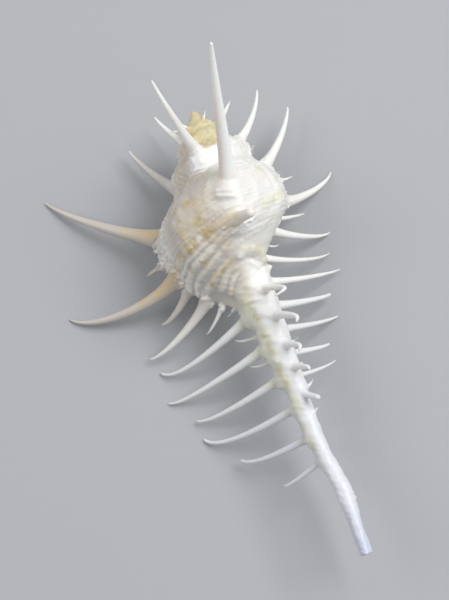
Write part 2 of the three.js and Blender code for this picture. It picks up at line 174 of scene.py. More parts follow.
# The row down the left of the canal, whose tips curl back up
LEFT_CANAL_SPINES = [
    (LEFT_EDGE, 39.85, (-23, 41.5, 0.5), 1.25, 2.3, 0.2),
    (LEFT_EDGE, 44, (-7.9, 42.4, 8.4), 0.45, 0.5, 0.14),
    (LEFT_EDGE, 46.35, (-23.7, 47.3, 0.25), 1.2, 1.2, 0.2),
    (LEFT_EDGE, 49.2, (-7.2, 47.7, 8.4), 0.45, 0.6, 0.15),
    (LEFT_EDGE, 52.6, (-19.9, 52.4, 1), 1.15, 1.2, 0.22),
    (LEFT_EDGE, 54.3, (-5.7, 52.9, 7.5), 0.32, 0, 0.12),
    (LEFT_EDGE, 58.6, (-19.9, 56.1, 0.3), 1, 2.15, 0.28),
    (LEFT_EDGE, 64.5, (-14.9, 62.4, 2.5), 1, 1.45, 0.25),
    (LEFT_EDGE, 69.2, (-9.1, 70.3, 6.5), 0.8, 0.4, 0.25),
]
# The varix on the right and its row down the canal
RIGHT_SPINES = [
    (RIGHT_ROW, 13.9, (17, 3.6, 5), 1.55, 2.15, 0.2),
    (RIGHT_ROW, 17.1, (13, 16.6, 5.4), 0.5, 0, 0.1),
    (RIGHT_ROW, 20.8, (20.2, 17.2, 0.25), 1.4, 1.9, 0.2),
    (RIGHT_ROW, 23.65, (12.6, 23.6, 3.6), 0.6, 0.3, 0.12),
    (RIGHT_ROW, 24.95, (15.9, 27.85, 0.17), 1.2, 1.68, 0.14),
    (CANAL_RIGHT_ROW, 27.9, (5.8, 28.5, 8), 0.35, 0.5, 0.12),
    (CANAL_RIGHT_ROW, 29.75, (14.3, 31.75, 1), 0.95, 1.55, 0.14),
    (-LEFT_EDGE, 32.9, (2.8, 32.7, 12), 0.65, 0, 0.5),
    (CANAL_RIGHT_ROW, 34.75, (15, 35.4, 1), 1, 0.7, 0.14),
    (CANAL_RIGHT_ROW, 39.4, (11.4, 39.4, 2), 1.05, 0.5, 0.3),
    (CANAL_RIGHT_ROW, 44, (11.4, 43.4, 0.25), 0.9, 0.6, 0.2),
    (CANAL_RIGHT_ROW, 48.7, (7.8, 48.55, 4.5), 0.85, 0.4, 0.25),
    (CANAL_RIGHT_ROW, 53.2, (7.9, 51.7, 4), 0.65, 0.5, 0.15),
    (-90, 56.1, (2.6, 54.8, 12), 0.45, 0.45, 0.1),
    (-LEFT_EDGE, 76.4, (1.75, 77.6, 12.7), 0.7, 0, 0.15),
]
# The long spine, the worn stub and small ones on the canal
BACK_SPINES = [
    (-6, 18.8, (6.55, 0.6, 45.9), 1.88, -1, 0.3),
    (8, 24.9, (2.7, 26.2, 28.3), 1.35, 0, 0.88),
    (-35, 56.5, (2.1, 59.1, 16.2), 0.85, 0, 0.5),
    (-85, 61.2, (1.4, 60.2, 13.2), 0.5, 0, 0.2),
    (-45, 47.6, (2.5, 47.9, 17), 0.4, 0, 0.1),
    (-45, 52, (1.8, 52.1, 16.2), 0.4, 0, 0.1),
]
SPIRE_SPINES = [
    (varix_turn(3), 12.8, (-13.8, -0.2, 3), 1.85, 2.75, 0.2),
    (varix_turn(4) + 1.9, 10.4, (-5.1, -2.7, 29), 1.48, 2.15, 0.22),
    (varix_turn(5), 8.3, (12.5, 0.3, 11), 1.25, 2.1, 0.2),
    (varix_turn(6), 6.4, (-7, -4, 5), 1.35, 1.45, 0.2),
    (varix_turn(7), 4.4, (-3, 2.2, 14.6), 0.6, 0, 0.2),
    (varix_turn(8), 4.7, (7.05, 1, 13.2), 1.1, 0.2, 0.1),
    (varix_turn(9), 2.8, (-5.2, 1.5, 10), 0.5, 0.1, 0.15),
    (-1110, 3.2, (2.1, 1.4, 14.2), 0.6, 0, 0.08),
    (-455, 10.9, (8.2, 10.2, 12.5), 0.35, 0.2, 0.08),
    (-455, 9.8, (7.2, 9.4, 12.5), 0.3, 0, 0.08),
    (-60, 15.4, (8.7, 14.4, 17), 0.35, 0, 0.08),
    (-85, 17.3, (10.65, 16.9, 13), 0.35, 0, 0.08),
    (-700, 4, (2.1, 3.5, 14.5), 0.3, 0, 0.08),
]
BOWED_SPINES = LIP_SPINES + RIGHT_SPINES + BACK_SPINES + SPIRE_SPINES
LONG_SPINE, STUB = BACK_SPINES[:2]
# Hooks on the canal: turn, station, knee, tip, root radius, tip radius
HOOKS = [
    (-8, 35.9, (3.5, 39.3, 21), (1.45, 40.4, 22.2), 0.82, 0.2),
    (-10, 40.9, (3.35, 44.5, 20), (3.35, 45.9, 21), 1, 0.25),
    (-10, 46.9, (2.2, 49.3, 18.2), (1.95, 50.5, 19), 0.85, 0.25),
    (-12, 51.3, (2.05, 53.3, 17.3), (2.45, 54.2, 18), 0.8, 0.25),
]
# Rounded ridges on the surface: places (turn, station), radius at the start and the end, height
ARCH = [(8, 30.6), (2.7, 30), (-9.5, 29.9), (-24.9, 30.4), (-45, 31.3), (-60, 32.2), (-85, 33.4)]
RIDGES = [(ARCH, 0.9, 0.55, 0.42)]

# Course of the spines: depth of the root, shares of the way to the tip where the handles pull, and what
# the curl adds; slim ones are thickened a little
SPINE_STEPS = 26
ROOT_DEPTH = 1.3
HOOK_DEPTH = 2.3
NEAR_PULL = 0.3
FAR_PULL = 0.86
LEFT_CURL = 0.5
CURL_PULL = 0.06
CURL_SAG = 0.9
SLIM = 0.6
SLIM_GAIN = 1.25
THINNEST = 0.15
# Taper: its even share, and the power of the flare at the root; angles and length of the dome at the tip
EVEN_TAPER = 0.75
FLARE_POWER = 8
DOME_ANGLES = (35.0, 65.0, 85.0)
DOME_LENGTH = 0.8

# Aperture, its rim and the slit
HOLLOW_LENGTH_TURN = 150.0
HOLLOW_OUTSIDE = 8.0
HOLLOW_RADIUS = 7.1
HOLLOW_STATION = 22.4
HOLLOW_HALF_WIDTH = 3.7
HOLLOW_HALF_LENGTH = 5.7
HOLLOW_TAPER = 0.6
HOLLOW_TAPER_POWER = 1.5
RIM_TURN = 4.0
RIM_SIZE = 1.14
RIM_RADIUS = 0.55
SLIT_TURN = 197.0
SLIT_START = 32.0
SLIT_OVERRUN = 1.0
SLIT_HALF_WIDTH = 0.3
SLIT_REACH = 2.0
BORE_SHARE = 0.45

# Mesh
MOST_TRIANGLES = 195000
WELD_DISTANCE = 1e-4
APEX_STATION = 0.02
APEX_STATIONS = (0.12, 4.0, 30)
BODY_STATIONS = (4.2, 46.0, 0.3)
CANAL_STATIONS = (46.2, CANAL_END - 0.4, 0.55)
BODY_SIDES = 280
HOLLOW_SIDES = 48
HOLLOW_RINGS = 60
SLIT_RINGS = 90
BORE_SIDES = 17
PATH_STEPS = 30
TUBE_RESOLUTION = 4
# Rounding of the joints, only at spines from this root radius on
FLARED_FROM = 0.76
FLARE_SHARE = 0.2
FILLET_REACH = 1.45
FILLET_ROUNDS = 30
HOOK_REACH = 1.8
HOOK_ROOT_TURN = -8.0
HOOK_ROOT_SHIFT = 0.7
LEFT_ROOT_SHIFT = 0.4
RIDGE_REACH = 1.2
RIDGE_SOFTNESS = 0.5
RELAX_WEIGHT = 0.5
SMOOTH_ROUNDS = 5
SKIN = (0.3, 1.5)
# Widths from its middle after which a bell counts as 0
BELL_REACH = 3

# Relief of the whorls. Cords: level and strength
CORDS = [
    (15.2, 0.5),
    (17.8, 1),
    (20, 0.5),
    (22.2, 0.6),
    (24.4, 1),
    (25.6, 0.5),
    (26.8, 0.9),
    (28.2, 0.6),
    (29.6, 1),
    (30.8, 0.6),
    (31.9, 0.9),
]
CORD_HEIGHT = 0.42
CORD_HALF_WIDTH = 0.38
CORD_SWING = 0.08
CORD_RANGE = (0.75, 1.3)
LIP_CLIMB = 0.03
CLIMB_TURNS = (50.0, 110.0)
THREAD_PITCH = 0.8
THREAD_HEIGHT = 0.09
CREST_HEIGHT = 0.26
CREST_SINK = 0.3
BEADS_PER_TURN = 89
BEAD_HEIGHT = 0.13
BEAD_SHIFT = 2.0
BEAD_STAGGER = 2.4
SKIN_HEIGHTS = (-0.6, -0.2, 0.5, 1.8)
FACE_TURNS = (LIP_TURN - 1, LIP_TURN + 2)
RELIEF_LEVELS = (12.2, 13.4)

# Strength of its parts: over all, and what the left, the far left, the furrows and the older whorls add
CORD_SHARES = (0.08, 0.22, 0.0, 0.8, 0.2)
THREAD_SHARES = (0.3, 0.6, 1.0, 0.0, 0.0)
BEAD_SHARES = (0.9, -0.6, 0.4, 0.0, 0.0)
CORD_WANDER = (0.09, 0.0, 0.0, -0.03, 0.0)
CORD_JITTER = (0.04, 0.0, 0.0, -0.04, 0.0)
LUMP_HEIGHTS = (0.07, 0.0, 0.0, -0.042, 0.0)
GRAIN_HEIGHTS = (0.02, 0.0, 0.0, 0.0, 0.07)
FURROW_EVENNESS = 0.6
# The middle of the back, where the varix is worn smooth
BACK_TURN = -4.0
BARE_WIDTH = 20.0

# Teeth of the lip and of the varix on the right
LIP_TOOTH_PITCH = 1.2
LIP_TOOTH_HEIGHT = 0.55
LIP_TOOTH_SHIFT = 0.35
LIP_TOOTH_SINK = 0.35
LIP_TOOTH_LEVELS = (13.0, 15.0)
LIP_TOOTH_TURNS = (97.0, 14.0)
RIGHT_TOOTH_TURNS = (-97.0, 22.0)
RIGHT_TEETH = 0.6
OLD_TEETH = 0.5
YOUNG_TURNS = (-40.0, 20.0)
FURROW_TOOTH_LOSS = 0.8

# Rings, lumps and teeth of the canal
RING_PITCH = 1.6
RING_HEIGHT = 0.03
RING_SLANT = 70.0
RING_WANDER = 0.4
CANAL_LUMP_HEIGHT = 0.05
TOOTH_PITCH = 1.05
TOOTH_HEIGHT = 0.16
TOOTH_SHIFT = 1.2
CANAL_TOOTH_TURNS = (LEFT_EDGE, 14.0)
CANAL_TOOTH_STATIONS = (62.0, 70.0)
END_TOOTH_TURNS = (-LEFT_EDGE, 20.0)
END_TOOTH_STATIONS = (78.0, 2.0)

# Noise: number of waves and spread of their lengths; then pitch and seed of each
WAVE_COUNT = 16
WAVE_SPREAD = (0.7, 1.4)
WANDER_NOISE = (6.0, 3)
BEAD_NOISE = (4.0, 4)
LUMP_NOISE = (2.4, 7)
RING_NOISE = (6.0, 8)
CANAL_LUMP_NOISE = (3.0, 9)
TOOTH_NOISE = (4.0, 10)
JITTER_NOISE = (2.6, 12)
GRAIN_NOISE = (1.1, 13)
LIP_TOOTH_NOISE = (3.0, 14)
# The same with mean, swing, least and most
THREAD_VARIATION = (3.0, 5, 1.0, 0.4, 0.2, 1.8)
CREST_VARIATION = (1.6, 6, 0.7, 0.5, 0.0, 1.6)
LIP_TOOTH_VARIATION = (4.0, 15, 0.8, 0.5, 0.3, 1.6)

# Fine ridges, dents and swellings on the back and the canal: places (turn, station), height, half width
MARKS = [
    ([(6, 19.54), (-4.6, 20.56)], 0.28, 0.3),
    ([(6.6, 20.46), (-3.7, 21.64)], 0.28, 0.3),
    ([(5.3, 23.12), (-6.6, 23.33)], 0.25, 0.3),
    ([(6.7, 27.18), (-13.2, 26.08)], 0.3, 0.3),
    ([(-5.4, 30.44), (-25.9, 31.28), (-79.8, 32.3)], 0.2, 0.3),
    ([(17.8, 32.07), (-9, 31.81), (-42.9, 33.73)], 0.16, 0.35),
    ([(37.5, 38), (-9.6, 38.4)], 0.25, 0.35),
    ([(32, 44.6), (8, 45)], 0.2, 0.35),
    ([(28, 50.1), (6, 50.5)], 0.2, 0.35),
    ([(13.2, 21.1), (5.4, 21.78), (-3.1, 22.53)], -0.3, 0.8),
    ([(6.4, 28.29), (0, 28.29)], -0.35, 1.3),
    ([(2.1, 31.61), (-13.8, 31.31)], -0.3, 0.7),
    ([(-40, 32.2), (-40, 33.8)], 0.5, 1.7),
    ([(-40, 36.2), (-40, 39)], 0.55, 1.8),
    ([(-36, 42.8), (-38, 45.6)], 0.5, 1.7),
    ([(-40, 48.4), (-40, 50.8)], 0.45, 1.5),
    ([(-40, 53.6), (-40, 55.6)], 0.4, 1.3),
    ([(-2, 29.6), (-16, 29.9), (-32, 30.8), (-52, 31.9)], 0.12, 0.6),
    ([(-345, 9.8), (-341, 11.2), (-337, 12.8)], 0.6, 1.3),
    ([(-327, 12.5), (-336, 13), (-347, 13.3)], 0.26, 0.3),
    ([(-325, 13.5), (-336, 14), (-349, 14.3)], 0.24, 0.3),
    ([(10, 35.4), (-12, 36.3), (-30, 36.6)], 0.35, 0.8),
    ([(8, 40.6), (-12, 41.3), (-30, 41.6)], 0.35, 0.8),
    ([(4, 46.4), (-14, 46.8), (-30, 47)], 0.3, 0.7),
    ([(2, 51), (-14, 51.3), (-30, 51.4)], 0.3, 0.7),
    ([(-95, 71), (-95, 74), (-95, 76.4)], 0.25, 1.1),
    ([(-95, 76.8), (-95, 78.4), (-95, 80)], 0.15, 0.8),
]

# Colours. Spots on the cords: turn, level, half width, strength
CORD_SPOTS = {
    "ochre": [
        (34.4, 17.8, 0.8, 0.85),
        (50.7, 17.6, 0.65, 0.6),
        (80.9, 15.8, 0.6, 0.6),
        (28.6, 22, 1.3, 0.6),
        (26, 24.4, 1.1, 1),
        (18.7, 24.24, 0.9, 0.6),
        (46.5, 20.3, 0.8, 0.5),
        (47.5, 21.6, 0.8, 0.55),
        (47.3, 24.45, 1, 0.9),
        (61.9, 24.2, 0.9, 0.85),
        (79.7, 23.85, 0.9, 0.85),
        (45, 27.3, 0.85, 0.65),
        (63.6, 26.5, 0.6, 0.6),
        (80.9, 26.4, 0.6, 0.45),
        (39, 29.7, 0.85, 0.75),
        (25.3, 29.9, 0.85, 0.7),
        (59.2, 29.6, 0.75, 0.85),
        (77.8, 29.2, 0.6, 0.5),
        (54.5, 31.9, 0.6, 0.5),
    ],
    "yellow": [
        (-41.1, 18.2, 0.8, 0.8),
        (-44.1, 24.8, 0.7, 0.8),
        (-53.8, 24.3, 0.7, 0.9),
        (-30.5, 24.9, 0.7, 0.5),
        (-62, 24.2, 0.6, 0.5),
    ],
}
SPOT_STRETCH = 0.4
CORD_RADIUS = 10.0
# Olive streaks along the canal: places (turn, station), half width, strength
OLIVE_STREAKS = [
    ([(31, 37.9), (26, 41.6)], 0.75, 0.9),
    ([(29, 44.4), (24, 48.2)], 0.75, 0.8),
    ([(32, 51.2), (27, 54.6)], 0.75, 0.8),
    ([(17, 57), (14, 59.6)], 0.7, 0.5),
    ([(55, 63.6), (50, 66.6)], 0.7, 0.6),
    ([(-2, 29.6), (-16, 29.8), (-32, 30.6), (-52, 31.8)], 0.9, 0.85),
]
# Stains on spines: spine, shares of its length where they start and end, shift, half width, strength
SPINE_STAINS = {
    "brown": [
        (LIP_SPINES[2], 0.05, 0.22, (0.3, 0.3, 1.4), 1.1, 0.8),
        (LIP_SPINES[2], 0.22, 0.32, (0.3, 0.3, 1.1), 0.95, 0.5),
        (LIP_SPINES[2], 0.32, 0.4, (0.3, 0.3, 1.0), 0.9, 0.2),
        (LIP_SPINES[0], 0.05, 0.16, (0.3, 0.0, 1.4), 1.1, 0.85),
        (LIP_SPINES[0], 0.16, 0.24, (0.3, 0.0, 1.2), 1.0, 0.7),
        (LIP_SPINES[0], 0.24, 0.34, (0.3, 0.0, 1.1), 0.9, 0.4),
        (STUB, 0.05, 0.4, (-0.5, 0.2, 0.6), 1.2, 0.6),
    ],
    "rose": [
        (LONG_SPINE, 0.06, 0.42, (-1.3, 0.2, 0.9), 1.0, 1.0),
        (STUB, 0.5, 0.9, (-0.5, 0.0, 0.5), 0.9, 0.6),
        (LIP_SPINES[0], 0.12, 0.7, (0.0, 0.0, 0.0), 1.9, 0.25),
        (LIP_SPINES[2], 0.1, 0.6, (0.0, 0.0, 0.0), 1.9, 0.2),
    ],
}

# Layers of the material in their order: mask and setting, and the share of it that shows
# The first layer is the whiter fan with a painted highlight along the long spine, the second the painted
# shade of the left side
WHORL_LAYERS = [("bright", 1.0), ("left", 0.95)]
# The canal's left side and the spines on the left carry painted shade; the canal and its bluish end are
# their own colours
CANAL_LAYERS = [("canal", 0.9), ("canal_left", 0.9), ("tail", 0.95), ("spines", 0.85)]
# Painted shade between the cords first, then the rose flush and the brown stains
SHADE_AND_STAIN_LAYERS = [("furrow", 0.85), ("rose", 0.75), ("brown", 0.9)]
RAGGED_LAYERS = ["olive", "yellow", "ochre"]
INNER_LAYERS = [("inside", 0.6)]
# Lilac and straw mottling laid within the painted shade on the left: size of the noise, its values and
# the shares they are taken to, colour
LEFT_TINTS = [
    (2.6, (0.5, 0.66, 0.0, 0.6), (208, 194, 200)),
    (3.3, (0.52, 0.68, 0.0, 0.5), (216, 200, 158)),
]
# Light that goes into the shell: share, reach by colour, depth
GLOW_SHARE = 0.25
GLOW_SPREAD = (1.0, 0.8, 0.6)
GLOW_DEPTH = 1.2

# Camera, in the shell's own frame
CAMERA_SPOT = (-7.144, -128.128, 413.467)
CAMERA_TILT = math.radians(13.0)
CAMERA_ROLL = math.radians(21.2)
CAMERA_DISTANCE = 420.0
PICTURE_HEIGHT = 111.0
SENSOR_HEIGHT = 24.0
CLIP_START = 0.01

# Stage, in metres in the row frame
KEY_SPOT = (0.63, 0.1, 0.82)
FILL_SPOT = (-0.6, 0.35, 0.8)
LIT_SPOT = (0.0, 0.0, 0.01)
LIGHT_SIZE = 0.6
FLOOR_SIZE = 3.0
FLOOR_ROUGHNESS = 0.9
SKY_COLOUR = (1.0, 1.0, 1.0, 1.0)


# Form


def smooth_table(rows, x, column=1):
    """A column of a table at x, smooth between the rows."""
    rows = np.asarray(rows, float)
    xs, ys = rows[:, 0], rows[:, column]
    slopes = np.gradient(ys, xs)
    x = np.clip(x, xs[0], xs[-1])
    i = np.clip(np.searchsorted(xs, x) - 1, 0, len(xs) - 2)
    h = xs[i + 1] - xs[i]
    t = (x - xs[i]) / h
    a = (1 + 2 * t) * (1 - t) ** 2 * ys[i] + t * (1 - t) ** 2 * h * slopes[i]
    b = t * t * (3 - 2 * t) * ys[i + 1] + t * t * (t - 1) * h * slopes[i + 1]
    return a + b


def smoothstep(x, low, high):
    """0 below low, 1 above high, smooth between."""
    t = np.clip((x - low) / (high - low), 0, 1)
    return t * t * (3 - 2 * t)


def fade(x, low, high):
    """1 below low, 0 above high, smooth between."""
    return 1 - smoothstep(x, low, high)


def plateau(x, low, rise_end, fall_start, high):
    """Rises from 0 to 1 between the first two values and sinks back between the last two."""
    return smoothstep(x, low, rise_end) * fade(x, fall_start, high)


def bell(x, middle=0.0, width=1.0):
    """1 in the middle, falling off to about a third at the width."""
    return np.exp(-(((x - middle) / width) ** 2))


def ripple(angle):
    """1 at every whole circle, 0 half way between."""
    return 0.5 + 0.5 * np.cos(angle)


def smooth_maximum(a, b, blend):
    """The greater of two values, raised by up to the blend where they are close."""
    gap = np.maximum(0, 1 - abs(a - b) / (4 * blend))
    return np.maximum(a, b) + blend * gap**2


def width_scale(turn):
    """Width of the whorl at a turn against that at turn 0."""
    return RADIUS_GROWTH ** (turn / 360)


def height_scale(turn):
    """Height of the whorl at a turn against that at turn 0."""
    return HEIGHT_GROWTH ** (turn / 360)


def canal_centre(station):
    return smooth_table(CANAL, station, 1), smooth_table(CANAL, station, 2)


def canal_radius(station):
    return np.where(station < CANAL[0][0], 0.0, smooth_table(CANAL, station, 3))


def varix_share(turn):
    """1 on the crest of a varix, 0 between two of them."""
    steps = (turn - LIP_TURN) / VARIX_STEP
    away = (steps - np.round(steps)) * VARIX_STEP
    return bell(away / VARIX_WIDTH)


def rib_share(turn):
    """Low axial ribs between neighbouring varices."""
    steps = (turn - LIP_TURN) / VARIX_STEP
    return (1 - ripple(2 * np.pi * RIBS_PER_STEP * steps)) * (1 - varix_share(turn))


def lip_wear(turn, level):
    """How far the lip is worn back."""
    worn = WORN_HIGH + WORN_LOW * smoothstep(level, *WORN_LOW_LEVELS)
    return plateau(level, *WORN_LEVELS) * worn * bell(turn, *WORN_TURNS)


def unevenness(turn, level):
    """Height of the swells and of the lip's flange, less the lip's wear."""
    lip = bell(turn, LIP_TURN, FLANGE_WIDTH)
    height = FLANGE_HEIGHT * lip * bell(level, *FLANGE_LEVELS)
    height = height - lip_wear(turn, level)
    for middle, width, rise, low, high in SWELLS:
        height = height + rise * bell(turn, middle, width) * fade(level, low, high)
    return height


def whorl_radius(turn, station):
    """Radius of one whorl, 0 where that whorl is not present."""
    level = station / height_scale(turn)
    relief = VARIX_HEIGHT * varix_share(turn) + RIB_HEIGHT * rib_share(turn)
    height = plateau(level, *VARIX_LEVELS) * relief + unevenness(turn, level)
    low, high = WHORL_PROFILE[0][0], WHORL_PROFILE[-1][0]
    present = (level > low - WHORL_MARGIN) & (level < high + WHORL_MARGIN)
    radius = smooth_table(WHORL_PROFILE, level)
    return np.where(present, width_scale(turn) * (radius + height), 0.0)


def body_radius(turn, station):
    """Outermost whorl at a turn and station: its radius and how many whorls back it lies."""
    radii = np.stack([whorl_radius(turn - 360 * k, station) for k in range(SPIRE_WHORLS)])
    whorl = radii.argmax(0)
    second, first = np.sort(radii, axis=0)[-2:]
    filled = smooth_maximum(first, second, SUTURE_FILL * width_scale(turn - 360 * whorl))
    return np.where(second > 0, filled, first), whorl


def shell_radius(turn, station):
    """Outer surface as a distance from the local centre, its share of canal, and its whorl."""
    body, whorl = body_radius(turn, station)
    x, z = canal_centre(station)
    angle = np.radians(turn)
    body = body - (-x * np.sin(angle) + z * np.cos(angle))
    canal = canal_radius(station)
    share = smoothstep(canal - body, -CANAL_FADE, CANAL_FADE)
    return smooth_maximum(body, canal, CANAL_BLEND), share, whorl


def place(turn, radius, station, centre=(0.0, 0.0)):
    """Point at a turn, a distance out and a station, round the axis or another centre."""
    angle = np.radians(turn)
    x = centre[0] - radius * np.sin(angle)
    z = AXIS_HEIGHT + centre[1] + radius * np.cos(angle)
    return np.stack(np.broadcast_arrays(x, -station, z), -1)


def surface_point(turn, station, depth=0.0):
    station = np.asarray(station, float)
    radius, _, _ = shell_radius(np.asarray(turn, float), station)
    return place(turn, radius - depth, station, canal_centre(station))


def surface_path(places):
    """Turns and stations along places on the surface."""
    share = np.linspace(0, 1, len(places))
    fine = np.linspace(0, 1, PATH_STEPS)
    turns = smooth_table([(s, p[0]) for s, p in zip(share, places)], fine)
    stations = smooth_table([(s, p[1]) for s, p in zip(share, places)], fine)
    return turns, stations


# Meshes


def add_grid(name, points):
    """A grid primitive laid on rows of points, closed where they meet."""
    rows, columns = points.shape[:2]
    bpy.ops.mesh.primitive_grid_add(x_subdivisions=columns - 1, y_subdivisions=rows - 1)
    piece = bpy.context.object
    piece.name = name
    piece.data.vertices.foreach_set("co", points.reshape(-1, 3).astype(np.float32).ravel())
    bpy.ops.object.mode_set(mode="EDIT")
    bpy.ops.mesh.select_all(action="SELECT")
    bpy.ops.mesh.remove_doubles(threshold=WELD_DISTANCE)
    bpy.ops.mesh.normals_make_consistent(inside=False)
    bpy.ops.object.mode_set(mode="OBJECT")
    return piece


def closed_rows(rings):
    """Rings as rows back to their first point, and a row at each end drawn into that ring's middle."""
    rings = np.concatenate([rings, rings[:, :1]], axis=1)
    first = np.broadcast_to(rings[0, :-1].mean(0), rings[0].shape)
    last = np.broadcast_to(rings[-1, :-1].mean(0), rings[-1].shape)
    return np.concatenate([first[None], rings, last[None]])


def canal_swelling(turn, station):
    """The canal's left edge widens towards each spine on it and is hollow between them."""
    edge = bell(turn, LEFT_EDGE, EDGE_WIDTH) + bell(turn, LEFT_EDGE - 360, EDGE_WIDTH)
    swelling = np.zeros(np.broadcast(turn, station).shape)
    share = np.zeros_like(swelling)
    for _, root, _, base, _, _ in LEFT_CANAL_SPINES:
        near = bell(station, root + SWELLING_SHIFT * base, SWELLING_LENGTH * base)
        swelling = np.maximum(swelling, SWELLING_HEIGHT * base * near)
        share = np.maximum(share, near)
    deeper = 1 + FIRST_DENT_GAIN * bell(station, *FIRST_DENT)
    dent = EDGE_DENT * plateau(station, *DENT_STATIONS) * deeper
    return edge * (swelling - dent * (1 - share))


def body_rings():
    """Spire, body whorl and canal as one skin; the ring closes across the face of the lip."""
    stations = np.concatenate([
        [APEX_STATION],
        np.geomspace(*APEX_STATIONS),
        np.arange(*BODY_STATIONS),
        np.arange(*CANAL_STATIONS),
        [CANAL_END - END_EDGE, CANAL_END],
    ])
    turns = np.linspace(LIP_TURN - 360 + LIP_FACE_TURN, LIP_TURN, BODY_SIDES)
    station, turn = np.meshgrid(stations, turns, indexing="ij")
    depth = np.where(station >= CANAL_END, END_BEVEL, 0.0) - canal_swelling(turn, station)
    points = surface_point(turn, station, depth)
    overhang = END_OVERHANG * (1 - ripple(np.radians(turn - END_LEAN)))
    points[..., 1] += overhang * smoothstep(station, CANAL_END - END_LENGTH, CANAL_END)
    return points


def hollow_ring(turn, size):
    """Oval of the hollow at a turn, in the plane through the axis."""
    angle = np.linspace(0, 2 * np.pi, HOLLOW_SIDES, endpoint=False)
    radius = HOLLOW_RADIUS + size * HOLLOW_HALF_WIDTH * np.cos(angle)
    station = HOLLOW_STATION + size * HOLLOW_HALF_LENGTH * np.sin(angle)
    return place(turn, width_scale(turn) * radius, height_scale(turn) * station)


def hollow_rings():
    """Aperture: a hollow that follows the last whorl inwards and narrows."""
    rings = []
    for share in np.linspace(0, 1, HOLLOW_RINGS):
        turn = LIP_TURN + LIP_FACE_TURN + HOLLOW_OUTSIDE - HOLLOW_LENGTH_TURN * share
        rings.append(hollow_ring(turn, 1 - HOLLOW_TAPER * share**HOLLOW_TAPER_POWER))
    return np.stack(rings)


def slit_rings():
    """Bore of the canal with the narrow slit that opens it below."""
    rings = []
    for station in np.linspace(SLIT_START, CANAL_END + SLIT_OVERRUN, SLIT_RINGS):
        centre = canal_centre(station)
        radius = float(canal_radius(station))
        bore, reach = BORE_SHARE * radius, radius + SLIT_REACH
        half = math.degrees(math.asin(SLIT_HALF_WIDTH / bore))
        narrow = math.degrees(math.asin(SLIT_HALF_WIDTH / reach))
        turns = SLIT_TURN + half + (360 - 2 * half) * np.linspace(0, 1, BORE_SIDES)
        ring = [place(turn, bore, station, centre) for turn in turns]
        ring += [place(SLIT_TURN + side, reach, station, centre) for side in (-narrow, narrow)]
        rings.append(ring)
    return np.array(rings)


def apply_all(piece):
    bpy.context.view_layer.objects.active = piece
    for modifier in list(piece.modifiers):
        bpy.ops.object.modifier_apply(modifier=modifier.name)


def cut(piece, cutter):
    modifier = piece.modifiers.new("cut", "BOOLEAN")
    modifier.operation = "DIFFERENCE"
    modifier.solver = "MANIFOLD"
    modifier.object = cutter
    apply_all(piece)
    bpy.data.objects.remove(cutter)


def spine_path(root, near, far, tip, base, point):
    """Points and radii along a cubic curve, flaring where it leaves the shell and round at its tip."""
    t = np.linspace(0, 1, SPINE_STEPS)[:, None]
    path = (1 - t) ** 3 * root + 3 * t * (1 - t) ** 2 * near + 3 * t * t * (1 - t) * far + t**3 * tip
    taper = EVEN_TAPER * (1 - t) + (1 - EVEN_TAPER) * (1 - t) ** FLARE_POWER
    radii = (point + (base - point) * taper).ravel()
    ahead = (path[-1] - path[-2]) / np.linalg.norm(path[-1] - path[-2])
    dome = np.radians(DOME_ANGLES)
    path = np.concatenate([path, tip + DOME_LENGTH * point * np.sin(dome)[:, None] * ahead])
    return path, np.concatenate([radii, point * np.cos(dome)])


def at(spot):
    """Point of an x, a station and a height."""
    return np.array([spot[0], -spot[1], spot[2]], float)


def spine_paths(rows, curl=0.0):
    """Spines bowed towards the canal, curled ones mostly near their tips."""
    paths = []
    for turn, station, tip, base, sag, point in rows:
        if base <= SLIM:
            base = SLIM_GAIN * base
        worn = width_scale(turn) * lip_wear(turn, station / height_scale(turn))
        root = surface_point(turn, station, ROOT_DEPTH * base - worn)
        way = at(tip) - root
        near = root + NEAR_PULL * way + (0, -sag * (1 - curl), 0)
        far = root + (FAR_PULL + CURL_PULL * curl) * way + (0, -sag * (1 + CURL_SAG * curl), 0)
        paths.append(spine_path(root, near, far, at(tip), base, point))
    return paths


def hook_paths():
    """Hooks: a cubic curve with both handles at the corner passes through the knee half way."""
    paths = []
    for turn, station, knee, tip, base, point in HOOKS:
        root = surface_point(turn, station, HOOK_DEPTH * base)
        corner = (8 * at(knee) - root - at(tip)) / 6
        paths.append(spine_path(root, corner, corner, at(tip), base, point))
    return paths


def ridge_paths():
    """Rounded ridges, sunk so that each stands out by its height."""
    paths = []
    for places, start, end, height in RIDGES:
        turns, stations = surface_path(places)
        radii = np.linspace(start, end, len(turns))
        paths.append((surface_point(turns, stations, radii - height), radii))
    return paths


def all_paths():
    curled = spine_paths(LEFT_CANAL_SPINES, curl=LEFT_CURL)
    return spine_paths(BOWED_SPINES) + curled + hook_paths() + ridge_paths()


def add_tubes(name, paths, closed=False):
    """Round tubes along paths of points and radii."""
    bpy.ops.curve.primitive_bezier_curve_add()
    piece = bpy.context.object
    piece.name = name
    curve = piece.data
    curve.splines.clear()
    curve.dimensions = "3D"
    curve.bevel_depth = 1.0
    curve.bevel_resolution = TUBE_RESOLUTION
    curve.use_fill_caps = True
    for points, radii in paths:
        spline = curve.splines.new("POLY")
        spline.points.add(len(points) - 1)
        spline.use_cyclic_u = closed
        for spot, co, radius in zip(spline.points, points, radii):
            spot.co = (*co, 1.0)
            spot.radius = max(radius, THINNEST)
    bpy.ops.object.convert(target="MESH")
    return bpy.context.object


def join(pieces):
    bpy.ops.object.select_all(action="DESELECT")
    for piece in pieces:
        piece.select_set(True)
    bpy.context.view_layer.objects.active = pieces[0]
    bpy.ops.object.join()
    return bpy.context.object


def vertex_vectors(piece, name):
    values = np.empty(len(piece.data.vertices) * 3, np.float32)
    piece.data.vertices.foreach_get(name, values)
    return values.reshape(-1, 3).astype(float)


def coordinates(piece):
    return vertex_vectors(piece, "co")


def put_coordinates(piece, co):
    piece.data.vertices.foreach_set("co", co.astype(np.float32).ravel())
    piece.data.update()


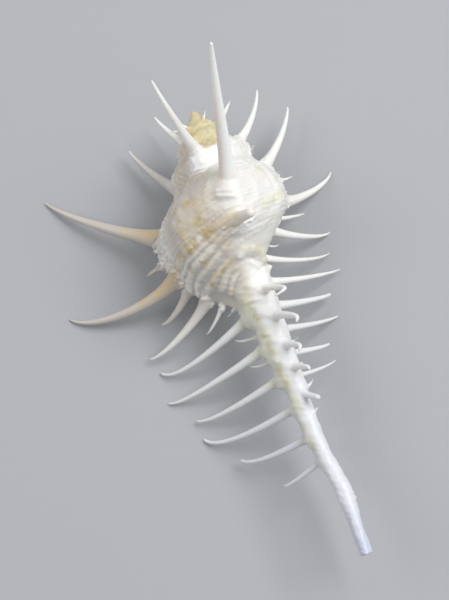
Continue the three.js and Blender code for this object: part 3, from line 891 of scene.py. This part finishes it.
def push_out(piece, height):
    """Moves each vertex along its normal by its height."""
    put_coordinates(piece, coordinates(piece) + vertex_vectors(piece, "normal") * height[:, None])


def relax(piece, weight, rounds):
    """Moves each vertex towards the mean of its neighbours by its weight."""
    edges = np.empty(len(piece.data.edges) * 2, np.int64)
    piece.data.edges.foreach_get("vertices", edges)
    a, b = edges.reshape(-1, 2).T
    co = coordinates(piece)
    count = np.bincount(np.concatenate([a, b]), minlength=len(co))[:, None]
    for _ in range(rounds):
        total = np.zeros_like(co)
        for axis in range(3):
            total[:, axis] = np.bincount(a, co[b, axis], len(co)) + np.bincount(b, co[a, axis], len(co))
        co += weight[:, None] * (total / count - co)
    put_coordinates(piece, co)


def nearness(co, points, half_width):
    """1 on a row of points, falling off over the half width."""
    reach = BELL_REACH * half_width
    near = np.nonzero(((co > points.min(0) - reach) & (co < points.max(0) + reach)).all(1))[0]
    share = np.zeros(len(co))
    if len(near):
        gaps = np.linalg.norm(co[near, None] - points[None], axis=2).min(1)
        share[near] = bell(gaps / half_width)
    return share


class Places:
    """Where points lie on the shell, how high over its smooth surface, and the share of canal there."""

    def __init__(self, co):
        self.co = co
        self.station = -co[:, 1]
        x, z = canal_centre(self.station)
        dx, dz = co[:, 0] - x, co[:, 2] - AXIS_HEIGHT - z
        turn = np.degrees(np.arctan2(-dx, dz))
        self.turn = np.where(turn > LIP_TURN + LIP_FACE_TURN / 2, turn - 360, turn)
        radius, self.canal, whorl = shell_radius(self.turn, self.station)
        self.over = np.hypot(dx, dz) - radius
        self.whole_turn = self.turn - 360 * whorl
        self.level = self.station / height_scale(self.whole_turn)


def root_share(co):
    """1 where a larger spine leaves the shell, with its radius there."""
    roots = [(row[0], row[1], row[3], 1) for row in BOWED_SPINES]
    roots += [(row[0], row[1] + LEFT_ROOT_SHIFT * row[3], row[3], 1) for row in LEFT_CANAL_SPINES]
    roots += [(row[0] + HOOK_ROOT_TURN, row[1] + HOOK_ROOT_SHIFT, row[4], HOOK_REACH) for row in HOOKS]
    share, radius = np.zeros(len(co)), np.zeros(len(co))
    for turn, station, base, wider in roots:
        if base > FLARED_FROM:
            near = nearness(co, surface_point(turn, station)[None], wider * FILLET_REACH * base)
            radius = np.where(near > share, base, radius)
            share = np.maximum(share, near)
    return share, radius


def fused_shell(voxel):
    """Body, rim and spines as one mesh, with the joints between them rounded."""
    body = add_grid("shell", closed_rows(body_rings()))
    cut(body, add_grid("hollow", closed_rows(hollow_rings())))
    cut(body, add_grid("slit", closed_rows(slit_rings())))
    rim_points = hollow_ring(LIP_TURN + RIM_TURN, RIM_SIZE)
    rim = add_tubes("rim", [(rim_points, np.full(len(rim_points), RIM_RADIUS))], closed=True)
    spines = add_tubes("spines", all_paths())
    shell = join([body, rim, spines])
    remesh = shell.modifiers.new("fuse", "REMESH")
    remesh.mode = "VOXEL"
    remesh.voxel_size = voxel
    apply_all(shell)
    co = coordinates(shell)
    share, radius = root_share(co)
    for points, _ in ridge_paths():
        share = np.maximum(share, RIDGE_SOFTNESS * nearness(co, points, RIDGE_REACH))
    push_out(shell, FLARE_SHARE * share * radius)
    relax(shell, RELAX_WEIGHT * share, FILLET_ROUNDS)
    over = Places(coordinates(shell)).over
    relax(shell, RELAX_WEIGHT * bell(over, *SKIN), SMOOTH_ROUNDS)
    return shell


def thin_out(piece):
    """Keeps the piece under its number of triangles."""
    triangles = sum(len(p.vertices) - 2 for p in piece.data.polygons)
    if triangles > MOST_TRIANGLES:
        decimate = piece.modifiers.new("thin", "DECIMATE")
        decimate.ratio = MOST_TRIANGLES / triangles
        apply_all(piece)


# Relief


def waves(co, pitch, seed):
    """Irregular noise of about 1, from cosine waves in seeded directions."""
    draw = np.random.default_rng(seed)
    total = np.zeros(len(co))
    for _ in range(WAVE_COUNT):
        way = draw.normal(size=3)
        way *= 2 * np.pi * draw.uniform(*WAVE_SPREAD) / (pitch * np.linalg.norm(way))
        total += np.cos(co @ way + draw.uniform(0, 2 * np.pi))
    return total / math.sqrt(WAVE_COUNT / 2)


def varied(co, pitch, seed, mean, swing, least, most):
    """A strength that varies irregularly round its mean."""
    return np.clip(mean + swing * waves(co, pitch, seed), least, most)


def furrow_zone(spots):
    """1 where the cords are strongest, low on the left of the body whorl."""
    low = smoothstep(spots.level, 22, 26)
    left = smoothstep(spots.whole_turn, 12, 34)
    return low * left * (1 - spots.canal)


def relief_zones(spots):
    """The left side, the far left, the furrows and the older whorls: 1 inside, 0 outside."""
    furrows = furrow_zone(spots)
    left = smoothstep(spots.whole_turn, 2, 24)
    far_left = smoothstep(spots.turn, 50, 72) * (1 - furrows)
    return left, far_left, furrows, fade(spots.whole_turn, -250, -150)


def by_zone(zones, shares):
    """The share that holds everywhere, and what each zone adds to it."""
    return shares[0] + sum(share * zone for share, zone in zip(shares[1:], zones))


def worn_share(spots):
    """How much of the relief is worn off: on the back, beside its base, and in a patch on the left."""
    turn, level = spots.whole_turn, spots.level
    back = bell(turn, BACK_TURN, 14) * plateau(level, 15.5, 17.5, 24, 27)
    base = smoothstep(level, 28, 29.5) * fade(turn, 8, 22)
    patch = bell(turn, 36, 26) * bell(level, 19.5, 3.2)
    return np.maximum.reduce([0.8 * back, 0.75 * base, 0.6 * patch])


def cord_share(level, phase):
    """1 on the middle of a strong cord, 0 between the cords."""
    share = np.zeros_like(level)
    for i, (middle, strength) in enumerate(CORDS):
        swing = 1 - CORD_SWING + CORD_SWING * np.cos(phase + BEAD_STAGGER * i)
        share = np.maximum(share, strength * swing * bell((level - middle) / CORD_HALF_WIDTH))
    return share


def whorl_relief(spots):
    """Height of cords, threads and beads."""
    co, whole = spots.co, spots.whole_turn
    zones = relief_zones(spots)
    furrows = zones[2]
    level = spots.level / (1 - LIP_CLIMB * smoothstep(spots.turn, *CLIMB_TURNS))
    level = level + by_zone(zones, CORD_WANDER) * waves(co, *WANDER_NOISE)
    level = level + by_zone(zones, CORD_JITTER) * waves(co, *JITTER_NOISE)
    phase = np.radians(whole) * BEADS_PER_TURN + BEAD_SHIFT * waves(co, *BEAD_NOISE)
    cords = cord_share(level, phase)
    threads = ripple(2 * np.pi * level / THREAD_PITCH)
    beads = threads * ripple(phase + BEAD_STAGGER * np.floor(level / THREAD_PITCH))
    uneven = varied(co, *THREAD_VARIATION)
    steady = 1 + (np.clip(uneven, *CORD_RANGE) - 1) * (1 - FURROW_EVENNESS * furrows)
    crest = varix_share(whole) * (1 - bell(whole, BACK_TURN, BARE_WIDTH)) * (1 - furrows)
    height = CORD_HEIGHT * cords * by_zone(zones, CORD_SHARES) * steady
    height += THREAD_HEIGHT * threads * by_zone(zones, THREAD_SHARES) * (1 - cords) * uneven
    height += BEAD_HEIGHT * beads * by_zone(zones, BEAD_SHARES) * (1 - furrows) * uneven
    height += CREST_HEIGHT * crest * (threads * varied(co, *CREST_VARIATION) - CREST_SINK)
    height += by_zone(zones, LUMP_HEIGHTS) * waves(co, *LUMP_NOISE)
    height += by_zone(zones, GRAIN_HEIGHTS) * waves(co, *GRAIN_NOISE)
    shown = (1 - worn_share(spots)) * smoothstep(spots.level, *RELIEF_LEVELS)
    return height * width_scale(whole) * shown


def edge_teeth(spots):
    """Jagged growth edges down the lip on the left and the varix on the right."""
    young = OLD_TEETH + (1 - OLD_TEETH) * smoothstep(spots.whole_turn, *YOUNG_TURNS)
    left = bell(spots.turn, *LIP_TOOTH_TURNS) * young
    left = left * (1 - FURROW_TOOTH_LOSS * furrow_zone(spots))
    right = RIGHT_TEETH * bell(spots.turn, *RIGHT_TOOTH_TURNS)
    row = spots.station / LIP_TOOTH_PITCH + LIP_TOOTH_SHIFT * waves(spots.co, *LIP_TOOTH_NOISE)
    teeth = ripple(2 * np.pi * row) ** 2 - LIP_TOOTH_SINK
    shown = smoothstep(spots.level, *LIP_TOOTH_LEVELS) * (1 - spots.canal)
    return LIP_TOOTH_HEIGHT * (left + right) * teeth * varied(spots.co, *LIP_TOOTH_VARIATION) * shown


def canal_relief(spots):
    """Faint uneven rings on the canal and small teeth along its edges."""
    station, turn, co = spots.station, spots.turn, spots.co
    slant = turn / RING_SLANT + RING_WANDER * waves(co, *RING_NOISE)
    height = RING_HEIGHT * np.cos(2 * np.pi * (station + slant) / RING_PITCH)
    height = height + CANAL_LUMP_HEIGHT * waves(co, *CANAL_LUMP_NOISE)
    left = bell(turn, *CANAL_TOOTH_TURNS) * fade(station, *CANAL_TOOTH_STATIONS)
    right = bell(turn, *END_TOOTH_TURNS) * bell(station, *END_TOOTH_STATIONS)
    phase = 2 * np.pi * station / TOOTH_PITCH + TOOTH_SHIFT * waves(co, *TOOTH_NOISE)
    return height + TOOTH_HEIGHT * (left + right) * ripple(phase) ** 2


def marks_relief(spots):
    height = np.zeros(len(spots.co))
    for places, rise, half_width in MARKS:
        height += rise * nearness(spots.co, surface_point(*surface_path(places)), half_width)
    return height


def relief(spots):
    """Height of everything that lies on the smooth surface, away from the spines and the lip's face."""
    outside = plateau(spots.over, *SKIN_HEIGHTS) * fade(spots.turn, *FACE_TURNS)
    height = whorl_relief(spots) * (1 - spots.canal) + canal_relief(spots) * spots.canal
    return (height + edge_teeth(spots) + marks_relief(spots)) * outside


# Masks that the material mixes its colours by, painted shade and highlight among them


def spot_points(turn, level, half_width):
    """A short stretch of the cord that a spot lies on."""
    half = math.degrees(SPOT_STRETCH * half_width / (CORD_RADIUS * width_scale(turn)))
    turns = np.linspace(turn - half, turn + half, 3)
    return surface_point(turns, level * height_scale(turns))


def spine_points(row, start, end, shift=(0.0, 0.0, 0.0)):
    """A stretch of a spine's middle line, moved sideways."""
    points, _ = spine_paths([row])[0]
    return points[int(start * len(points)) : int(end * len(points)) + 1] + shift


def stain(co, rows):
    """Strongest share of a colour at each point: rows of points, half width and strength."""
    share = np.zeros(len(co))
    for points, half_width, strength in rows:
        share = np.maximum(share, strength * nearness(co, points, half_width))
    return share


def stain_masks(co):
    """Spots on the cords, streaks along the canal and stains on the spines."""
    masks = {}
    for name, rows in CORD_SPOTS.items():
        masks[name] = stain(co, [(spot_points(*row[:3]), *row[2:]) for row in rows])
    streaks = [(surface_point(*surface_path(places)), *row) for places, *row in OLIVE_STREAKS]
    masks["olive"] = stain(co, streaks)
    for name, rows in SPINE_STAINS.items():
        masks[name] = stain(co, [(spine_points(*row[:4]), *row[4:]) for row in rows])
    return masks


def zone_masks(spots, height):
    """Areas of the shell that are tinted as a whole, each within the soft edges given here. Some are
    painted light rather than colour: painted shade between the cords, on the left side, on the left
    spines and on the canal's left side, and a painted highlight along the long spine.
    """
    whole, turn, station, to_left = spots.whole_turn, spots.turn, spots.station, -spots.co[:, 0]
    on_whorl = fade(spots.over, 0.3, 1)
    furrows = furrow_zone(spots)
    fan = plateau(whole, -400, -380, -336, -316)
    shoulder = fade(spots.level, 16.2, 17.4) * plateau(whole, -395, -380, -340, -318)
    spire = np.maximum(fade(whole, -700, -655), shoulder)
    # Painted shade in the grooves between the cords, where the relief is low, strongest in the furrows
    # low on the left
    groove_shade = fade(height, 0.05, 0.24)
    # Left side of the whorls: mostly painted shade on the side away from the key light, partly the
    # shell's warmer tone; it fades out again at the far left
    left = smoothstep(turn, -6, 22) * (1 - 0.9 * smoothstep(turn, 55, 85))
    # Whiter fan on the shoulder, and a painted highlight along the right side of the long spine, the
    # side the key light falls on
    lit_spine_side_highlight = nearness(spots.co, spine_points(LONG_SPINE, 0.1, 1, (0.8, 0, 0)), 1.6)
    bright = np.maximum(0.65 * fan * on_whorl, lit_spine_side_highlight)
    # Left side of the canal: a greenish grey tone with painted shade on the side away from the key light
    canal_left = spots.canal * smoothstep(turn, -12, 40) * fade(station, 66, 76)
    # Painted shade on the spines on the left, which face away from the key light
    spines = smoothstep(to_left, 6, 11) * plateau(station, -4, 4, 33, 39)
    tail = 0.35 * smoothstep(station, 50, 64) + 0.65 * smoothstep(station, 76, 88)
    return {
        "spire": spire * on_whorl * fade(to_left, 3.8, 4.8),
        "furrow": groove_shade * on_whorl * (0.1 * (1 - spots.canal) + 0.8 * furrows),
        "left": left * on_whorl * (1 - fan) * (1 - 0.5 * furrows),
        "bright": bright * fade(whole, 40, 60),
        "canal": smoothstep(station, 36, 42),
        "canal_left": canal_left * fade(spots.over, 0.5, 4),
        "tail": tail,
        "spines": spines * (1 - on_whorl),
        "inside": smoothstep(-spots.over, 0.6, 1.4),
    }


def put_masks(piece, masks):
    for name, values in masks.items():
        attribute = piece.data.attributes.new(name, "FLOAT", "POINT")
        attribute.data.foreach_set("value", np.asarray(values, np.float32))


# The whole shell


def build_shell(voxel, relief_gain):
    shell = fused_shell(voxel)
    spots = Places(coordinates(shell))
    height = relief_gain * relief(spots)
    push_out(shell, height)
    put_masks(shell, {**stain_masks(spots.co), **zone_masks(spots, height)})
    thin_out(shell)
    return shell


def row_shift():
    """Where the shell's own frame starts in the row frame."""
    low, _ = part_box(NODE)
    return Vector(low) - MM * Vector(LOWEST_CORNER)


def to_row_frame(piece):
    """From the shell's millimetres to the row frame in metres."""
    piece.data.transform(Matrix.Translation(row_shift()) @ Matrix.Scale(MM, 4))
    piece.data.update()


# Materials


def linear(red, green, blue):
    """Colour for a shader from its 0 to 255 values on a screen."""
    shares = [v / 255 for v in (red, green, blue)]
    return (*[v / 12.92 if v <= 0.04045 else ((v + 0.055) / 1.055) ** 2.4 for v in shares], 1.0)


class Paint:
    """Adds nodes to a material one after another."""

    def __init__(self, material):
        material.use_nodes = True
        self.nodes = material.node_tree.nodes
        self.links = material.node_tree.links
        self.place = self.nodes.new("ShaderNodeTexCoord").outputs["Object"]

    def mask(self, name):
        node = self.nodes.new("ShaderNodeAttribute")
        node.attribute_name = name
        return node.outputs["Fac"]

    def noise(self, size, detail=3.0):
        """Noise whose blotches are about this many millimetres across."""
        node = self.nodes.new("ShaderNodeTexNoise")
        node.inputs["Scale"].default_value = 1 / (size * MM)
        node.inputs["Detail"].default_value = detail
        self.links.new(self.place, node.inputs["Vector"])
        return node.outputs["Fac"]

    def ramp(self, value, low, high, start=0.0, end=1.0):
        """A value taken from low..high to start..end."""
        node = self.nodes.new("ShaderNodeMapRange")
        for name, number in (("From Min", low), ("From Max", high), ("To Min", start), ("To Max", end)):
            node.inputs[name].default_value = number
        self.links.new(value, node.inputs["Value"])
        return node.outputs["Result"]

    def times(self, a, b):
        node = self.nodes.new("ShaderNodeMath")
        node.operation = "MULTIPLY"
        for socket, value in zip(node.inputs, (a, b)):
            if isinstance(value, (int, float)):
                socket.default_value = value
            else:
                self.links.new(value, socket)
        return node.outputs["Value"]

    def mix(self, share, below, above):
        """The colour above laid over the one below by a share."""
        node = self.nodes.new("ShaderNodeMix")
        node.data_type = "RGBA"
        self.links.new(share, node.inputs["Factor"])
        for name, colour in (("A", below), ("B", above)):
            socket = next(s for s in node.inputs if s.name == name and s.type == "RGBA")
            if isinstance(colour, tuple):
                socket.default_value = colour
            else:
                self.links.new(colour, socket)
        return next(s for s in node.outputs if s.type == "RGBA")

    def bump(self, height, strength, distance):
        node = self.nodes.new("ShaderNodeBump")
        node.inputs["Strength"].default_value = strength
        node.inputs["Distance"].default_value = distance * MM
        self.links.new(height, node.inputs["Height"])
        return node.outputs["Normal"]


def layered(paint, settings, colour, layers):
    """Lays colours of the settings over another, each through its mask and by its share."""
    for name, share in layers:
        colour = paint.mix(paint.times(paint.mask(name), share), colour, tuple(getattr(settings, name)))
    return colour


def shell_colour(paint, settings):
    """White shell, stained along its cords, spines and canal, with painted shade on its left side,
    between the cords, on the left spines and on the canal's left side, and a painted highlight along the
    long spine.
    """
    cloud = paint.ramp(paint.noise(6.0), 0.35, 0.65)
    fleck = paint.noise(1.1)
    ragged = paint.ramp(fleck, 0.36, 0.58, 0.25, 1)
    colour = paint.mix(cloud, tuple(settings.white), linear(236, 235, 230))
    # The whiter fan with a painted highlight along the long spine, then painted shade on the left side
    colour = layered(paint, settings, colour, WHORL_LAYERS)
    # Painted shade on the left side, mottled with lilac and straw
    for size, ramp, tint in LEFT_TINTS:
        share = paint.times(paint.mask("left"), paint.ramp(paint.noise(size), *ramp))
        colour = paint.mix(share, colour, linear(*tint))
    colour = layered(paint, settings, colour, CANAL_LAYERS)
    spire = paint.mix(paint.ramp(fleck, 0.42, 0.6), tuple(settings.spire), linear(216, 208, 170))
    spire_share = paint.times(paint.mask("spire"), paint.ramp(fleck, 0.3, 0.45, 0.75, 0.95))
    colour = paint.mix(spire_share, colour, spire)
    # Painted shade between the cords, then the rose and brown stains
    colour = layered(paint, settings, colour, SHADE_AND_STAIN_LAYERS)
    colour = layered(paint, settings, colour, [(name, ragged) for name in RAGGED_LAYERS])
    colour = layered(paint, settings, colour, INNER_LAYERS)
    return paint.mix(paint.ramp(paint.noise(0.45), 0.35, 0.75, 0, 0.15), colour, linear(222, 218, 208))


def shell_material(settings):
    material = bpy.data.materials.new("shell")
    paint = Paint(material)
    bsdf = paint.nodes["Principled BSDF"]
    sheen = paint.ramp(paint.noise(1.6), 0.3, 0.7, 0.3, 0.5)
    pits = paint.bump(paint.noise(0.5, 6.0), 0.35, 0.05)
    paint.links.new(shell_colour(paint, settings), bsdf.inputs["Base Color"])
    paint.links.new(sheen, bsdf.inputs["Roughness"])
    paint.links.new(pits, bsdf.inputs["Normal"])
    bsdf.inputs["Subsurface Weight"].default_value = GLOW_SHARE
    bsdf.inputs["Subsurface Radius"].default_value = GLOW_SPREAD
    bsdf.inputs["Subsurface Scale"].default_value = GLOW_DEPTH * MM
    return material


# Stage


def add_floor(colour):
    bpy.ops.mesh.primitive_plane_add(size=FLOOR_SIZE)
    floor = bpy.context.object
    floor.name = "floor"
    paper = bpy.data.materials.new("floor_paper")
    paper.use_nodes = True
    bsdf = paper.node_tree.nodes["Principled BSDF"]
    bsdf.inputs["Base Color"].default_value = colour
    bsdf.inputs["Roughness"].default_value = FLOOR_ROUGHNESS
    floor.data.materials.append(paper)


def add_light(name, spot, power):
    """A soft square light that faces the shell."""
    bpy.ops.object.light_add(type="AREA", location=spot)
    light = bpy.context.object
    light.name = name
    light.data.size = LIGHT_SIZE
    light.data.energy = power
    light.rotation_euler = (Vector(LIT_SPOT) - Vector(spot)).to_track_quat("-Z", "Y").to_euler()


def add_sky(strength):
    world = bpy.data.worlds.new("studio")
    world.use_nodes = True
    background = world.node_tree.nodes["Background"]
    background.inputs["Color"].default_value = SKY_COLOUR
    background.inputs["Strength"].default_value = strength
    bpy.context.scene.world = world


def add_camera():
    shift = row_shift()
    back = Vector((0, -math.sin(CAMERA_TILT), math.cos(CAMERA_TILT)))
    right_0 = Vector((1, 0, 0))
    up_0 = Vector((0, math.cos(CAMERA_TILT), math.sin(CAMERA_TILT)))
    right = math.cos(CAMERA_ROLL) * right_0 - math.sin(CAMERA_ROLL) * up_0
    up = math.sin(CAMERA_ROLL) * right_0 + math.cos(CAMERA_ROLL) * up_0
    bpy.ops.object.camera_add()
    camera = bpy.context.object
    camera.name = "camera"
    spot = Vector(CAMERA_SPOT) * MM + shift
    turn = Matrix((right, up, back)).transposed().to_4x4()
    camera.matrix_world = Matrix.Translation(spot) @ turn
    camera.data.sensor_fit = "VERTICAL"
    camera.data.sensor_height = SENSOR_HEIGHT
    camera.data.lens = SENSOR_HEIGHT * CAMERA_DISTANCE / PICTURE_HEIGHT
    camera.data.clip_start = CLIP_START
    bpy.context.scene.camera = camera


# Add-on


def colour_setting(name, description, red, green, blue):
    """A colour of the settings, from its 0 to 255 values on a screen."""
    return bpy.props.FloatVectorProperty(
        name=name,
        description=description,
        subtype="COLOR",
        size=4,
        min=0.0,
        max=1.0,
        default=linear(red, green, blue),
    )


def light_setting(name, description, strength, unit="NONE"):
    return bpy.props.FloatProperty(
        name=name,
        description=description,
        default=strength,
        min=0.0,
        unit=unit,
    )


class MurexSettings(bpy.types.PropertyGroup):
    voxel: bpy.props.FloatProperty(
        name="Voxel",
        description="Grid size in millimetres at which body and spines are fused",
        default=0.2,
        min=0.15,
        max=1.0,
    )
    relief: bpy.props.FloatProperty(
        name="Relief",
        description="Height of the cords, beads and teeth against those of the real shell",
        default=1.0,
        min=0.0,
        max=2.0,
        subtype="FACTOR",
    )
    white: colour_setting("White", "Main colour of the shell", 244, 243, 240)
    # Whiter fan on the shoulder, and a painted highlight along the lit right side of the long spine
    bright: colour_setting("Bright", "Fan on the shoulder and the long spine", 254, 254, 253)
    # Grey-beige of the left side: mostly painted shade away from the key light, partly the shell's
    # warmer tone
    left: colour_setting("Left side", "Tint of the left side of the whorls", 204, 195, 180)
    canal: colour_setting("Canal", "Siphonal canal", 231, 232, 234)
    # Greenish grey of the canal's left side, with painted shade
    canal_left: colour_setting("Canal, left side", "Tint of the canal's left side", 217, 217, 203)
    tail: colour_setting("Canal end", "Bluish end of the canal", 198, 206, 227)
    # Grey-beige painted shade on the spines on the left
    spines: colour_setting("Left spines", "Dull spines on the left", 190, 184, 179)
    spire: colour_setting("Spire", "Tip of the spire", 212, 192, 134)
    # Painted shade between the cords
    furrow: colour_setting("Furrows", "Between the cords", 186, 184, 180)
    rose: colour_setting("Rose", "Flush on the spines", 230, 211, 197)
    brown: colour_setting("Brown", "Stain at the roots of the left spines", 212, 184, 116)
    olive: colour_setting("Olive", "Streaks along the canal", 200, 196, 158)
    yellow: colour_setting("Yellow", "Pale spots on the right", 226, 224, 168)
    ochre: colour_setting("Ochre", "Spots on the cords", 188, 162, 88)
    inside: colour_setting("Inside", "Walls of the aperture", 242, 228, 216)
    floor: colour_setting("Floor", "Paper that the shell lies on", 173, 175, 179)
    key: light_setting("Key light", "Strength of the light on the right", 8.5, "POWER")
    fill: light_setting("Fill light", "Strength of the light on the left", 2.9, "POWER")
    sky: light_setting("Sky", "Even light from all sides", 0.36)


class MUREX_OT_shell(bpy.types.Operator):
    """Build the shell in place of its CAD node"""

    bl_idname = "murex.shell"
    bl_label = "Build shell"

    def execute(self, context):
        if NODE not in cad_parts:
            raise RuntimeError("the frame has no node " + NODE)
        settings = context.scene.murex
        shell = build_shell(settings.voxel, settings.relief)
        if not shell.data.polygons:
            raise RuntimeError("the shell has no faces")
        to_row_frame(shell)
        shell.data.materials.clear()
        shell.data.materials.append(shell_material(settings))
        bpy.ops.object.select_all(action="DESELECT")
        shell.select_set(True)
        context.view_layer.objects.active = shell
        bpy.ops.object.shade_smooth()
        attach(shell, "root")
        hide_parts(NODE)
        return {"FINISHED"}


class MUREX_OT_stage(bpy.types.Operator):
    """Add floor, lights and camera"""

    bl_idname = "murex.stage"
    bl_label = "Build stage"

    def execute(self, context):
        settings = context.scene.murex
        add_floor(settings.floor)
        add_light("key", KEY_SPOT, settings.key)
        add_light("fill", FILL_SPOT, settings.fill)
        add_sky(settings.sky)
        context.scene.view_settings.view_transform = "Standard"
        add_camera()
        return {"FINISHED"}


class MUREX_PT_panel(bpy.types.Panel):
    """Buttons for the shell and its stage"""

    bl_label = "Murex shell"
    bl_idname = "MUREX_PT_panel"
    bl_space_type = "VIEW_3D"
    bl_region_type = "UI"
    bl_category = "Murex"

    def draw(self, context):
        for name in MurexSettings.__annotations__:
            self.layout.prop(context.scene.murex, name)
        self.layout.operator("murex.shell")
        self.layout.operator("murex.stage")


CLASSES = (MurexSettings, MUREX_OT_shell, MUREX_OT_stage, MUREX_PT_panel)


def register():
    for cls in CLASSES:
        bpy.utils.register_class(cls)
    bpy.types.Scene.murex = bpy.props.PointerProperty(type=MurexSettings)


def unregister():
    del bpy.types.Scene.murex
    for cls in reversed(CLASSES):
        bpy.utils.unregister_class(cls)


def main():
    register()
    bpy.ops.murex.shell()
    bpy.ops.murex.stage()


if __name__ == "__main__":
    main()
